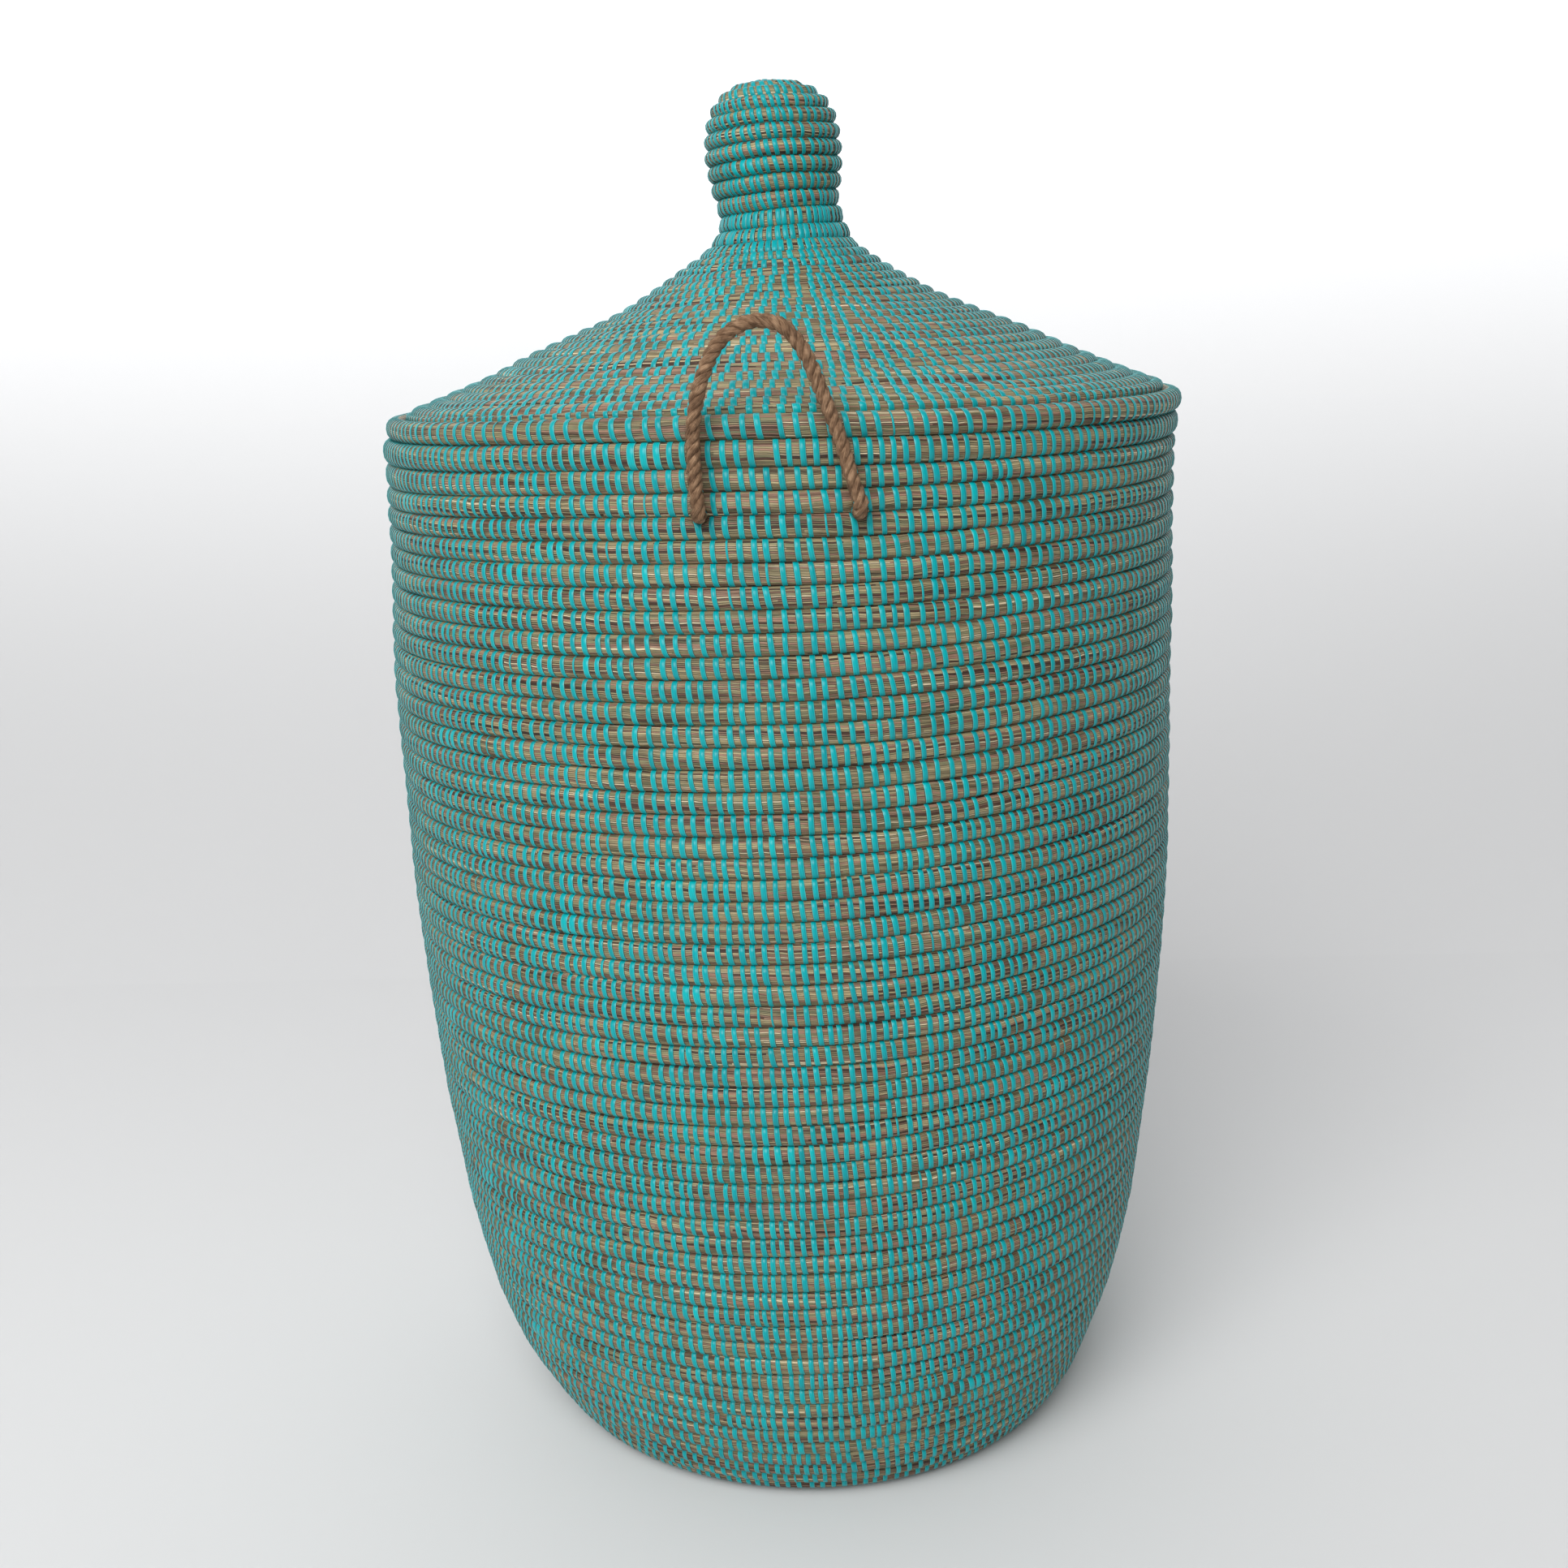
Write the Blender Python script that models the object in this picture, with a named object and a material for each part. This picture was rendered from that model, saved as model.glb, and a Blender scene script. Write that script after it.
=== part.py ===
# Tall lidded laundry basket, coiled from a bundle of grass and sewn with plastic strip.
# Metres, +Z up, origin in the middle of the base's underside, front handle towards -Y.
import math

import bmesh
import bpy
from mathutils import Vector

# Body
BODY_HEIGHT = 0.596  # underside of the base to the top of the rim course
RIM_RADIUS = 0.225  # outside of the rim course
RIM_COURSE_HEIGHT = 0.012
WALL_SETBACK = 0.0007  # of the straight wall's outside behind the rim course
WALL_THICKNESS = 0.011
STRAIGHT_DEPTH = 0.240  # how far below the rim the taper starts
BASE_RADIUS = 0.148  # edge of the flat underside
TAPER_POWER = 1.85  # how late the wall leaves the straight
ROUND_POWER = 0.475  # how full the lower corner is
BASE_THICKNESS = 0.011
BODY_COURSE_PITCH = 0.011
BODY_RIB_DEPTH = 0.0020  # how deep the groove between two courses is

# Lid
LID_SETBACK = 0.0005  # of the rim roll's outside behind the rim course
LID_ROLL_HEIGHT = 0.0135
LID_ROLL_WIDTH = 0.014
LID_THICKNESS = 0.0085
CONE_EDGE_RISE = 0.0138  # top of the cone's lowest course above the body's rim
CONE_SAG = 0.0062  # how far the cone's side dips below a straight line
CONE_SAG_SKEW = 1.5  # above 1 the deepest dip lies nearer the neck
CONE_COURSE_PITCH = 0.0088
CONE_RIB_DEPTH = 0.0013
NECK_RADIUS = 0.032
NECK_RISE = 0.1135  # narrowest part of the neck above the body's rim
NECK_FILLET_RADIUS = 0.024
NECK_FILLET_TURN = math.radians(60.0)
KNOB_RADIUS = 0.038
KNOB_WIDEST_RISE = 0.1427
KNOB_TOP_RISE = 0.1814
KNOB_DOME_POWER = 2.8
KNOB_COURSE_PITCH = 0.0091
KNOB_RIB_DEPTH = 0.0018

# Locating ring under the lid
RING_CLEARANCE = 0.0045  # between the ring and the inside of the rim course
RING_WIDTH = 0.009
RING_DROP = 0.018  # how far the ring reaches into the body
RING_COURSES = 2
RING_GROOVE = 0.0011  # between its two courses

# Rope handles
ROPE_DIAMETER = 0.007
HANDLE_SPAN = 0.074  # between the middles of the two rope entries
HANDLE_DEPTH = 0.033  # rope entries below the body's rim
HANDLE_CLEARANCE = 0.0015  # between the rim course and the rope that stands in front of it
ROPE_SIDES = 8
ROPE_POINTS = 34
ROPE_END_RINGS = 3
ROPE_END_TURN = math.radians(80.0)  # how far round the half ball on the rope's end goes
KNOT_RADIUS = 0.0085
KNOT_LENGTH = 0.014
KNOT_TAIL_LENGTH = 0.009
KNOT_TAIL_FLARE = 1.15  # the tail's end, as a share of the rope's radius
HOLE_CUTTER_WALLS = 4.0  # length of a rope hole's cutter, in wall thicknesses

# Fits and facets
JOIN_GAP = 0.0003  # between two solids that touch
BODY_SEGMENTS = 28
KNOB_SEGMENTS = 24
KNOT_SEGMENTS = 12
WALL_INSIDE_STEPS = 16
CONE_UNDERSIDE_STEPS = 12
KNOB_INSIDE_STEPS = 12
WALL_OUTLINE_STEPS = 400
WALL_STEP_CROWDING = 4  # how strongly the wall's points crowd towards its rounded foot
LID_OUTLINE_STEPS = 60
ROUTE_STEPS = 12
OUTLINE_FEELER = 0.0005  # how far to each side an outline's direction is measured
COURSE_CORNER_SHARE = 0.3  # corner radius of a single course, as a share of its smaller side
MERGE_DISTANCE = 0.00002
SHARP_ANGLE = math.radians(50.0)
AXIS_SIZE = 0.05

# The handle's own outline, as it stands: across and above its hinge line
HANDLE_ROUTE = [
    (-0.0370, 0.0000),
    (-0.0376, 0.0140),
    (-0.0380, 0.0280),
    (-0.0378, 0.0400),
    (-0.0362, 0.0500),
    (-0.0335, 0.0605),
    (-0.0290, 0.0712),
    (-0.0230, 0.0795),
    (-0.0145, 0.0850),
    (-0.0060, 0.0865),
    (0.0030, 0.0843),
    (0.0096, 0.0780),
    (0.0150, 0.0690),
    (0.0189, 0.0592),
    (0.0222, 0.0508),
    (0.0258, 0.0410),
    (0.0297, 0.0300),
    (0.0334, 0.0165),
    (0.0370, 0.0000),
]
ROUTE_SPAN = 0.074  # the span that the outline above was drawn for

# A knot's own outline from the wall inwards: shares of its radius and of its length
KNOT_OUTLINE = [(0.80, 0.0), (1.0, 0.22), (0.84, 0.45), (0.96, 0.70), (0.72, 0.92)]

FULL_TURN = 2.0 * math.pi
WALL_RADIUS = RIM_RADIUS - WALL_SETBACK
LID_EDGE_RADIUS = RIM_RADIUS - LID_SETBACK
ROPE_RADIUS = ROPE_DIAMETER / 2.0
HINGE_Z = BODY_HEIGHT - HANDLE_DEPTH
HINGE_Y = RIM_RADIUS + HANDLE_CLEARANCE + ROPE_RADIUS


def clear_scene():
    for item in list(bpy.data.objects):
        bpy.data.objects.remove(item, do_unlink=True)


def make_material(name, colour, roughness):
    material = bpy.data.materials.new(name)
    material.use_nodes = True
    shader = material.node_tree.nodes["Principled BSDF"]
    shader.inputs["Base Color"].default_value = (*colour, 1.0)
    shader.inputs["Roughness"].default_value = roughness
    shader.inputs["Metallic"].default_value = 0.0
    return material


def add_object(name, mesh, material, location=(0.0, 0.0, 0.0), parent=None):
    item = bpy.data.objects.new(name, mesh)
    item.location = location
    item.parent = parent
    if hasattr(mesh, "materials"):
        mesh.materials.append(material)
    bpy.context.scene.collection.objects.link(item)
    return item


def add_axis(name, location):
    axis = bpy.data.objects.new(name, None)
    axis.empty_display_size = AXIS_SIZE
    axis.location = location
    bpy.context.scene.collection.objects.link(axis)
    return axis


# An outline turned round +Z. It closes on the axis where its ends lie there, and on itself if not.
def turned_mesh(name, outline, segments):
    shape = bmesh.new()
    points = [shape.verts.new((radius, 0.0, height)) for radius, height in outline]
    edges = [shape.edges.new(pair) for pair in zip(points, points[1:])]
    if outline[0][0] > JOIN_GAP and outline[-1][0] > JOIN_GAP:
        edges.append(shape.edges.new((points[-1], points[0])))
    bmesh.ops.spin(
        shape,
        geom=points + edges,
        cent=(0.0, 0.0, 0.0),
        axis=(0.0, 0.0, 1.0),
        angle=FULL_TURN,
        steps=segments,
    )
    bmesh.ops.remove_doubles(shape, verts=shape.verts, dist=MERGE_DISTANCE)
    bmesh.ops.recalc_face_normals(shape, faces=shape.faces)
    mesh = bpy.data.meshes.new(name)
    shape.to_mesh(mesh)
    shape.free()
    mesh.shade_smooth()
    mesh.set_sharp_from_angle(angle=SHARP_ANGLE)
    return mesh


# Distance along a line of points, one value for each point
def lengths_along(points):
    lengths = [0.0]
    for first, second in zip(points, points[1:]):
        lengths.append(lengths[-1] + math.dist(first, second))
    return lengths


# The point at a distance along a line of points
def point_at(points, lengths, distance):
    index = 1
    while index < len(points) - 1 and lengths[index] < distance:
        index += 1
    stretch = lengths[index] - lengths[index - 1]
    share = (distance - lengths[index - 1]) / stretch
    first = Vector(points[index - 1])
    return first.lerp(Vector(points[index]), share)


# The direction square to a profile, pointing away from the basket's inside
def outward_at(points, lengths, distance):
    before = point_at(points, lengths, max(distance - OUTLINE_FEELER, 0.0))
    after = point_at(points, lengths, min(distance + OUTLINE_FEELER, lengths[-1]))
    along = (after - before).normalized()
    return Vector((along.y, -along.x))


# A profile with one rib for each course: a groove between two courses, a crest on each
def ribbed_profile(profile, pitch, depth):
    lengths = lengths_along(profile)
    courses = max(round(lengths[-1] / pitch), 1)
    outline = []
    for half_step in range(2 * courses + 1):
        distance = lengths[-1] * half_step / (2 * courses)
        point = point_at(profile, lengths, distance)
        if half_step % 2 == 0:
            point -= outward_at(profile, lengths, distance) * depth
        outline.append((point.x, point.y))
    return outline


# The same profile, moved inwards by a thickness, with a few plain points
def inner_profile(profile, thickness, count):
    lengths = lengths_along(profile)
    outline = []
    for step in range(count + 1):
        distance = lengths[-1] * step / count
        point = point_at(profile, lengths, distance)
        point -= outward_at(profile, lengths, distance) * thickness
        outline.append((point.x, point.y))
    return outline


# Outside radius of the body at a depth below its rim
def body_radius(depth):
    if depth <= STRAIGHT_DEPTH:
        return WALL_RADIUS
    share = min((depth - STRAIGHT_DEPTH) / (BODY_HEIGHT - STRAIGHT_DEPTH), 1.0)
    fullness = (1.0 - share**TAPER_POWER) ** ROUND_POWER
    return BASE_RADIUS + (WALL_RADIUS - BASE_RADIUS) * fullness


# Outside of the wall from the flat underside up to the rim course, as (radius, height)
def wall_profile():
    points = []
    tallest = BODY_HEIGHT - RIM_COURSE_HEIGHT - JOIN_GAP
    for step in range(WALL_OUTLINE_STEPS + 1):
        height = tallest * (step / WALL_OUTLINE_STEPS) ** WALL_STEP_CROWDING
        points.append((body_radius(BODY_HEIGHT - height), height))
    return points


# Outside of the lid's cone from its edge up to the neck, as (radius, height above the rim)
def cone_profile():
    edge_radius = LID_EDGE_RADIUS - LID_ROLL_WIDTH - JOIN_GAP
    foot_radius = NECK_RADIUS + NECK_FILLET_RADIUS * (1.0 - math.cos(NECK_FILLET_TURN))
    foot_rise = NECK_RISE - NECK_FILLET_RADIUS * math.sin(NECK_FILLET_TURN)
    points = []
    steps = LID_OUTLINE_STEPS
    for step in range(steps):
        share = step / steps
        radius = edge_radius + (foot_radius - edge_radius) * share
        rise = CONE_EDGE_RISE + (foot_rise - CONE_EDGE_RISE) * share
        points.append((radius, rise - CONE_SAG * math.sin(math.pi * share**CONE_SAG_SKEW)))
    for step in range(steps // 2 + 1):
        turn = NECK_FILLET_TURN * (1.0 - 2.0 * step / steps)
        radius = NECK_RADIUS + NECK_FILLET_RADIUS * (1.0 - math.cos(turn))
        points.append((radius, NECK_RISE - NECK_FILLET_RADIUS * math.sin(turn)))
    return points


# Outside of the knob from the neck to its top on the axis, as (radius, height above the rim)
def knob_profile():
    points = []
    steps = LID_OUTLINE_STEPS
    for step in range(steps):
        share = step / steps
        swell = (1.0 - math.cos(math.pi * share)) / 2.0
        radius = NECK_RADIUS + (KNOB_RADIUS - NECK_RADIUS) * swell
        points.append((radius, NECK_RISE + (KNOB_WIDEST_RISE - NECK_RISE) * share))
    for step in range(steps + 1):
        turn = step / steps * math.pi / 2.0
        across = math.cos(turn) ** (2.0 / KNOB_DOME_POWER)
        above = math.sin(turn) ** (2.0 / KNOB_DOME_POWER)
        rise = KNOB_WIDEST_RISE + (KNOB_TOP_RISE - KNOB_WIDEST_RISE) * above
        points.append((KNOB_RADIUS * across, rise))
    return points


# A single round course: its cross-section as a rounded rectangle, going round once
def course_section(outer_radius, width, low, high):
    corner = min(width, high - low) * COURSE_CORNER_SHARE
    centres = [
        (outer_radius - corner, high - corner, 0),
        (outer_radius - width + corner, high - corner, 1),
        (outer_radius - width + corner, low + corner, 2),
        (outer_radius - corner, low + corner, 3),
    ]
    outline = []
    for radius, height, quarter in centres:
        for step in range(3):
            turn = (quarter + step / 2.0) * math.pi / 2.0
            across = corner * math.cos(turn)
            outline.append((radius + across, height + corner * math.sin(turn)))
    return outline


def build_base(material):
    edge = BASE_RADIUS - JOIN_GAP
    outline = [
        (0.0, BASE_THICKNESS),
        (edge - BODY_RIB_DEPTH, BASE_THICKNESS),
        (edge, BASE_THICKNESS - BODY_RIB_DEPTH),
        (edge, 0.0),
        (0.0, 0.0),
    ]
    add_object("base_coil", turned_mesh("base_coil", outline, BODY_SEGMENTS), material)


def add_hole_cutter(name, across, side):
    bpy.ops.mesh.primitive_cylinder_add(
        vertices=KNOT_SEGMENTS,
        radius=ROPE_RADIUS + JOIN_GAP,
        depth=HOLE_CUTTER_WALLS * WALL_THICKNESS,
        location=(across, side * (WALL_RADIUS - WALL_THICKNESS), HINGE_Z),
        rotation=(math.pi / 2.0, 0.0, 0.0),
    )
    cutter = bpy.context.object
    cutter.name = name
    cutter.hide_render = True
    cutter.display_type = "WIRE"
    return cutter


def build_wall(material):
    profile = wall_profile()
    outside = ribbed_profile(profile, BODY_COURSE_PITCH, BODY_RIB_DEPTH)
    inside = inner_profile(profile, WALL_THICKNESS, WALL_INSIDE_STEPS)
    outside[0] = (BASE_RADIUS, 0.0)
    inside[0] = (BASE_RADIUS, BASE_THICKNESS)
    outline = outside + inside[::-1]
    wall = add_object("wall_coil", turned_mesh("wall_coil", outline, BODY_SEGMENTS), material)
    for side in (-1.0, 1.0):
        for across in (-HANDLE_SPAN / 2.0, HANDLE_SPAN / 2.0):
            cutter = add_hole_cutter("rope_hole_cutter", across, side)
            hole = wall.modifiers.new("rope_hole", "BOOLEAN")
            hole.operation = "DIFFERENCE"
            hole.object = cutter


def build_rim_course(material):
    low = BODY_HEIGHT - RIM_COURSE_HEIGHT
    outline = course_section(RIM_RADIUS, WALL_THICKNESS, low, BODY_HEIGHT)
    add_object("rim_course", turned_mesh("rim_course", outline, BODY_SEGMENTS), material)


def build_rim_roll(axis, material):
    top = JOIN_GAP + LID_ROLL_HEIGHT
    outline = course_section(LID_EDGE_RADIUS, LID_ROLL_WIDTH, JOIN_GAP, top)
    mesh = turned_mesh("lid_rim_roll", outline, BODY_SEGMENTS)
    add_object("lid_rim_roll", mesh, material, parent=axis)


# Underside of the cone from its edge up to the neck, as (radius, height above the rim)
def cone_underside():
    cone = cone_profile()
    inside = inner_profile(cone, LID_THICKNESS, CONE_UNDERSIDE_STEPS)
    inside[0] = (cone[0][0], inside[0][1])
    inside[-1] = (NECK_RADIUS - LID_THICKNESS, NECK_RISE)
    return inside


def build_cone(axis, material):
    cone = cone_profile()
    outside = ribbed_profile(cone, CONE_COURSE_PITCH, CONE_RIB_DEPTH)
    outside[0] = (cone[0][0], cone[0][1] - CONE_RIB_DEPTH)
    outline = outside + cone_underside()[::-1]
    mesh = turned_mesh("lid_cone_coil", outline, BODY_SEGMENTS)
    add_object("lid_cone_coil", mesh, material, parent=axis)


def build_knob(axis, material):
    knob = knob_profile()
    outside = ribbed_profile(knob, KNOB_COURSE_PITCH, KNOB_RIB_DEPTH)
    inside = inner_profile(knob, LID_THICKNESS, KNOB_INSIDE_STEPS)
    outside[0] = (NECK_RADIUS - KNOB_RIB_DEPTH, NECK_RISE + JOIN_GAP)
    outside[-1] = (0.0, KNOB_TOP_RISE)
    inside[0] = (NECK_RADIUS - LID_THICKNESS, NECK_RISE + JOIN_GAP)
    inside[-1] = (0.0, KNOB_TOP_RISE - LID_THICKNESS)
    outline = outside[::-1] + inside
    mesh = turned_mesh("lid_knob_coil", outline, KNOB_SEGMENTS)
    add_object("lid_knob_coil", mesh, material, parent=axis)


# Height of a line of (radius, height) points at a radius, where the radius falls along it
def height_on(points, radius):
    for first, second in zip(points, points[1:]):
        if second[0] <= radius <= first[0]:
            share = (first[0] - radius) / (first[0] - second[0])
            return first[1] + (second[1] - first[1]) * share
    return points[-1][1]


def build_ring(axis, material):
    outer = RIM_RADIUS - WALL_THICKNESS - RING_CLEARANCE
    inner = outer - RING_WIDTH
    underside = cone_underside()
    outline = [(radius, height_on(underside, radius) - JOIN_GAP) for radius in (outer, inner)]
    half_course = RING_DROP / RING_COURSES / 2.0
    levels = range(2 * RING_COURSES + 1)
    insets = [RING_GROOVE if level % 2 == 0 else 0.0 for level in levels]
    for level in levels:
        outline.append((inner + insets[level], -half_course * level))
    for level in reversed(levels):
        outline.append((outer - insets[level], -half_course * level))
    mesh = turned_mesh("lid_locating_ring", outline, BODY_SEGMENTS)
    add_object("lid_locating_ring", mesh, material, parent=axis)


# A smooth curve through the route's points
def smooth_route(points, steps):
    closed = [points[0] * 2 - points[1]] + points + [points[-1] * 2 - points[-2]]
    curve = []
    for index in range(1, len(closed) - 2):
        before, first, second, after = closed[index - 1 : index + 3]
        for step in range(steps):
            share = step / steps
            bend = second - before
            ease = before * 2 - first * 5 + second * 4 - after
            close = first * 3 - before - second * 3 + after
            curve.append((first * 2 + bend * share + ease * share**2 + close * share**3) / 2)
    curve.append(points[-1])
    return curve


# Half a ball on the rope's end, as (distance past the end, share of the rope's radius)
def round_end():
    caps = []
    for step in range(1, ROPE_END_RINGS + 1):
        turn = step / ROPE_END_RINGS * ROPE_END_TURN
        caps.append((ROPE_RADIUS * math.sin(turn), math.cos(turn)))
    return caps


def build_handle(name, side, material):
    widening = HANDLE_SPAN / ROUTE_SPAN
    route = [Vector((-side * across * widening, 0.0, above)) for across, above in HANDLE_ROUTE]
    fine = smooth_route(route, ROUTE_STEPS)
    lengths = lengths_along(fine)
    points = []
    for step in range(ROPE_POINTS + 1):
        points.append((point_at(fine, lengths, lengths[-1] * step / ROPE_POINTS), 1.0))
    first = points[0][0]
    last = points[-1][0]
    for past, share in round_end():
        points.insert(0, (first - Vector((0.0, 0.0, past)), share))
        points.append((last - Vector((0.0, 0.0, past)), share))
    curve = bpy.data.curves.new(name, "CURVE")
    curve.dimensions = "3D"
    curve.bevel_depth = ROPE_RADIUS
    curve.bevel_resolution = (ROPE_SIDES - 4) // 2
    curve.use_fill_caps = True
    spline = curve.splines.new("POLY")
    spline.points.add(len(points) - 1)
    for target, (place, share) in zip(spline.points, points):
        target.co = (place.x, place.y, place.z, 1.0)
        target.radius = share
    add_object(name, curve, material, location=(0.0, side * HINGE_Y, HINGE_Z))


# One end of a rope: it passes through the wall, and a knot stops it on the inside
def build_rope_end(name, across, side, material):
    inner_radius = WALL_RADIUS - WALL_THICKNESS
    far_side = abs(across) + KNOT_RADIUS
    seat = HINGE_Y - math.sqrt(inner_radius**2 - far_side**2) + JOIN_GAP
    start = ROPE_RADIUS + JOIN_GAP
    tail_start = seat + KNOT_LENGTH
    tail_end = tail_start + KNOT_TAIL_LENGTH
    outline = [(0.0, start), (ROPE_RADIUS, start), (ROPE_RADIUS, seat)]
    for across_share, along_share in KNOT_OUTLINE:
        outline.append((KNOT_RADIUS * across_share, seat + KNOT_LENGTH * along_share))
    outline.append((ROPE_RADIUS, tail_start))
    outline.append((ROPE_RADIUS * KNOT_TAIL_FLARE, tail_end))
    outline.append((0.0, tail_end))
    mesh = turned_mesh(name, outline, KNOT_SEGMENTS)
    item = add_object(name, mesh, material, location=(across, side * HINGE_Y, HINGE_Z))
    item.rotation_euler = (side * math.pi / 2.0, 0.0, 0.0)


def build_basket():
    clear_scene()
    grass = make_material("sewn_grass", (0.36, 0.42, 0.33), 0.6)
    floor_grass = make_material("floor_grass", (0.40, 0.36, 0.26), 0.65)
    rim_grass = make_material("rim_grass", (0.30, 0.47, 0.40), 0.6)
    lid_grass = make_material("lid_grass", (0.38, 0.40, 0.29), 0.6)
    ring_grass = make_material("ring_grass", (0.42, 0.36, 0.25), 0.65)
    rope = make_material("rope", (0.31, 0.20, 0.12), 0.85)

    build_base(floor_grass)
    build_wall(grass)
    build_rim_course(rim_grass)
    lift_axis = add_axis("lid_lift_axis", (0.0, 0.0, BODY_HEIGHT))
    build_rim_roll(lift_axis, lid_grass)
    build_cone(lift_axis, lid_grass)
    build_knob(lift_axis, lid_grass)
    build_ring(lift_axis, ring_grass)
    for place, side in (("front", -1.0), ("rear", 1.0)):
        build_handle(place + "_handle_rope", side, rope)
        for hand, across in (("left", -HANDLE_SPAN / 2.0), ("right", HANDLE_SPAN / 2.0)):
            build_rope_end(place + "_" + hand + "_rope_end", across, side, rope)


build_basket()
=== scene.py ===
import math

import bpy
import numpy as np
from mathutils import Matrix, Vector


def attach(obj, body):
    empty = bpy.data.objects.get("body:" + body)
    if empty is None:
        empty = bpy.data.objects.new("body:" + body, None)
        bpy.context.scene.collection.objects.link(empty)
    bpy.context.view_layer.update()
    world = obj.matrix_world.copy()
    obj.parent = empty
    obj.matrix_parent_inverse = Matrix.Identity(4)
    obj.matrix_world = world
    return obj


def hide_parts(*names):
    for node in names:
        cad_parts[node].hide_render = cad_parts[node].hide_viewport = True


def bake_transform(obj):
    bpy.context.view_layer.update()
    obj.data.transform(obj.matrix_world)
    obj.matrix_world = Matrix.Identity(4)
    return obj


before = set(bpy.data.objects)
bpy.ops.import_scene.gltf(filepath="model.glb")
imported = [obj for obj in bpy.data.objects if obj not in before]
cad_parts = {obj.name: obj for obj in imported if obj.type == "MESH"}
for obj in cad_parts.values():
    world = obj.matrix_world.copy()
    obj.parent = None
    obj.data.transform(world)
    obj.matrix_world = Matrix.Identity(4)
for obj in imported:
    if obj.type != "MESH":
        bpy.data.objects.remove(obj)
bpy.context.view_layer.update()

fullTurn = 2.0 * math.pi
frontAngle = -0.5 * math.pi  # azimuth of the front handle; a whole turn number lies there
bodyHeight = 0.596

# Camera first, because the ropes are measured against its view
cameraView = {
    "lens": 41.27, "sensor": 36.0,
    "distance": 1.0539, "height": 0.6487, "sideways": -0.0038,
    "azimuth": 0.67, "pitchDown": 14.42, "roll": -1.57,
}


def addCamera(view):
    data = bpy.data.cameras.new("photoCamera")
    data.lens = view["lens"]
    data.sensor_width = view["sensor"]
    data.sensor_fit = "HORIZONTAL"
    camera = bpy.data.objects.new("photoCamera", data)
    bpy.context.scene.collection.objects.link(camera)
    around = Matrix.Rotation(math.radians(view["azimuth"]), 4, "Z")
    place = Matrix.Translation((view["sideways"], -view["distance"], view["height"]))
    tilt = Matrix.Rotation(math.radians(90.0 - view["pitchDown"]), 4, "X")
    roll = Matrix.Rotation(math.radians(view["roll"]), 4, "Z")
    camera.matrix_world = around @ place @ tilt @ roll
    bpy.context.scene.camera = camera


addCamera(cameraView)
print("stage: camera")


def deselectAll():
    bpy.ops.object.select_all(action="DESELECT")


# A mesh from arrays: points, four-sided faces and, for each face corner, its place in the UV map
def buildPiece(name, points, faces, corners, tones=None, caps=()):
    mesh = bpy.data.meshes.new(name)
    flat = np.concatenate([np.ravel(faces), *caps]).astype(np.int32)
    sizes = np.array([4] * len(faces) + [len(cap) for cap in caps], np.int32)
    mesh.vertices.add(len(points))
    mesh.vertices.foreach_set("co", np.asarray(points, np.float32).ravel())
    mesh.loops.add(len(flat))
    mesh.loops.foreach_set("vertex_index", flat)
    mesh.polygons.add(len(sizes))
    mesh.polygons.foreach_set("loop_start", (np.cumsum(sizes) - sizes).astype(np.int32))
    mesh.update(calc_edges=True)
    places = np.zeros((len(flat), 2), np.float32)
    places[: len(corners)] = corners
    mesh.uv_layers.new(name="UVMap").data.foreach_set("uv", places.ravel())
    if tones is not None:
        toneLayer = mesh.attributes.new("tone", "FLOAT", "POINT")
        toneLayer.data.foreach_set("value", np.asarray(tones, np.float32))
    mesh.shade_smooth()
    mesh.validate()
    piece = bpy.data.objects.new(name, mesh)
    bpy.context.scene.collection.objects.link(piece)
    return piece


# Faces of a grid of points, which may close on itself either way, with the row and column of each
def gridFaces(rows, columns, closedRows, closedColumns):
    shape = (rows if closedRows else rows - 1, columns if closedColumns else columns - 1)
    row, column = np.indices(shape).reshape(2, -1)
    nextRow = (row + 1) % rows
    nextColumn = (column + 1) % columns
    faces = np.stack([row * columns + column, nextRow * columns + column,
                      nextRow * columns + nextColumn, row * columns + nextColumn], -1)
    return faces, row, column


# The UV places of the faces' four corners, in the order of gridFaces
def mapCorners(alongs, acrosses):
    return np.stack([np.stack(alongs, -1), np.stack(acrosses, -1)], -1).reshape(-1, 2)


def finishPiece(piece, material, body, node):
    piece.data.materials.append(material)
    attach(piece, body)
    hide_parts(node)


# Node helpers for the materials. A value is a number, a colour or another node's output.
def newMaterial(name):
    material = bpy.data.materials.new(name)
    material.use_nodes = True
    return material, material.node_tree, material.node_tree.nodes["Principled BSDF"]


def fillSocket(tree, socket, value):
    if isinstance(value, bpy.types.NodeSocket):
        tree.links.new(value, socket)
    else:
        socket.default_value = value


def addNode(tree, kind, settings, inputs):
    node = tree.nodes.new(kind)
    for key, value in settings.items():
        setattr(node, key, value)
    for key, value in inputs.items():
        fillSocket(tree, node.inputs[key], value)
    return node


def addMath(tree, operation, first, second=0.0, third=0.0):
    inputs = {0: first, 1: second, 2: third}
    return addNode(tree, "ShaderNodeMath", {"operation": operation}, inputs).outputs[0]


def addNoise(tree, place, scale, detail, roughness=0.5, dimensions="2D"):
    inputs = {"Vector": place, "Scale": scale, "Detail": detail, "Roughness": roughness}
    return addNode(tree, "ShaderNodeTexNoise", {"noise_dimensions": dimensions}, inputs).outputs[0]


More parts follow.
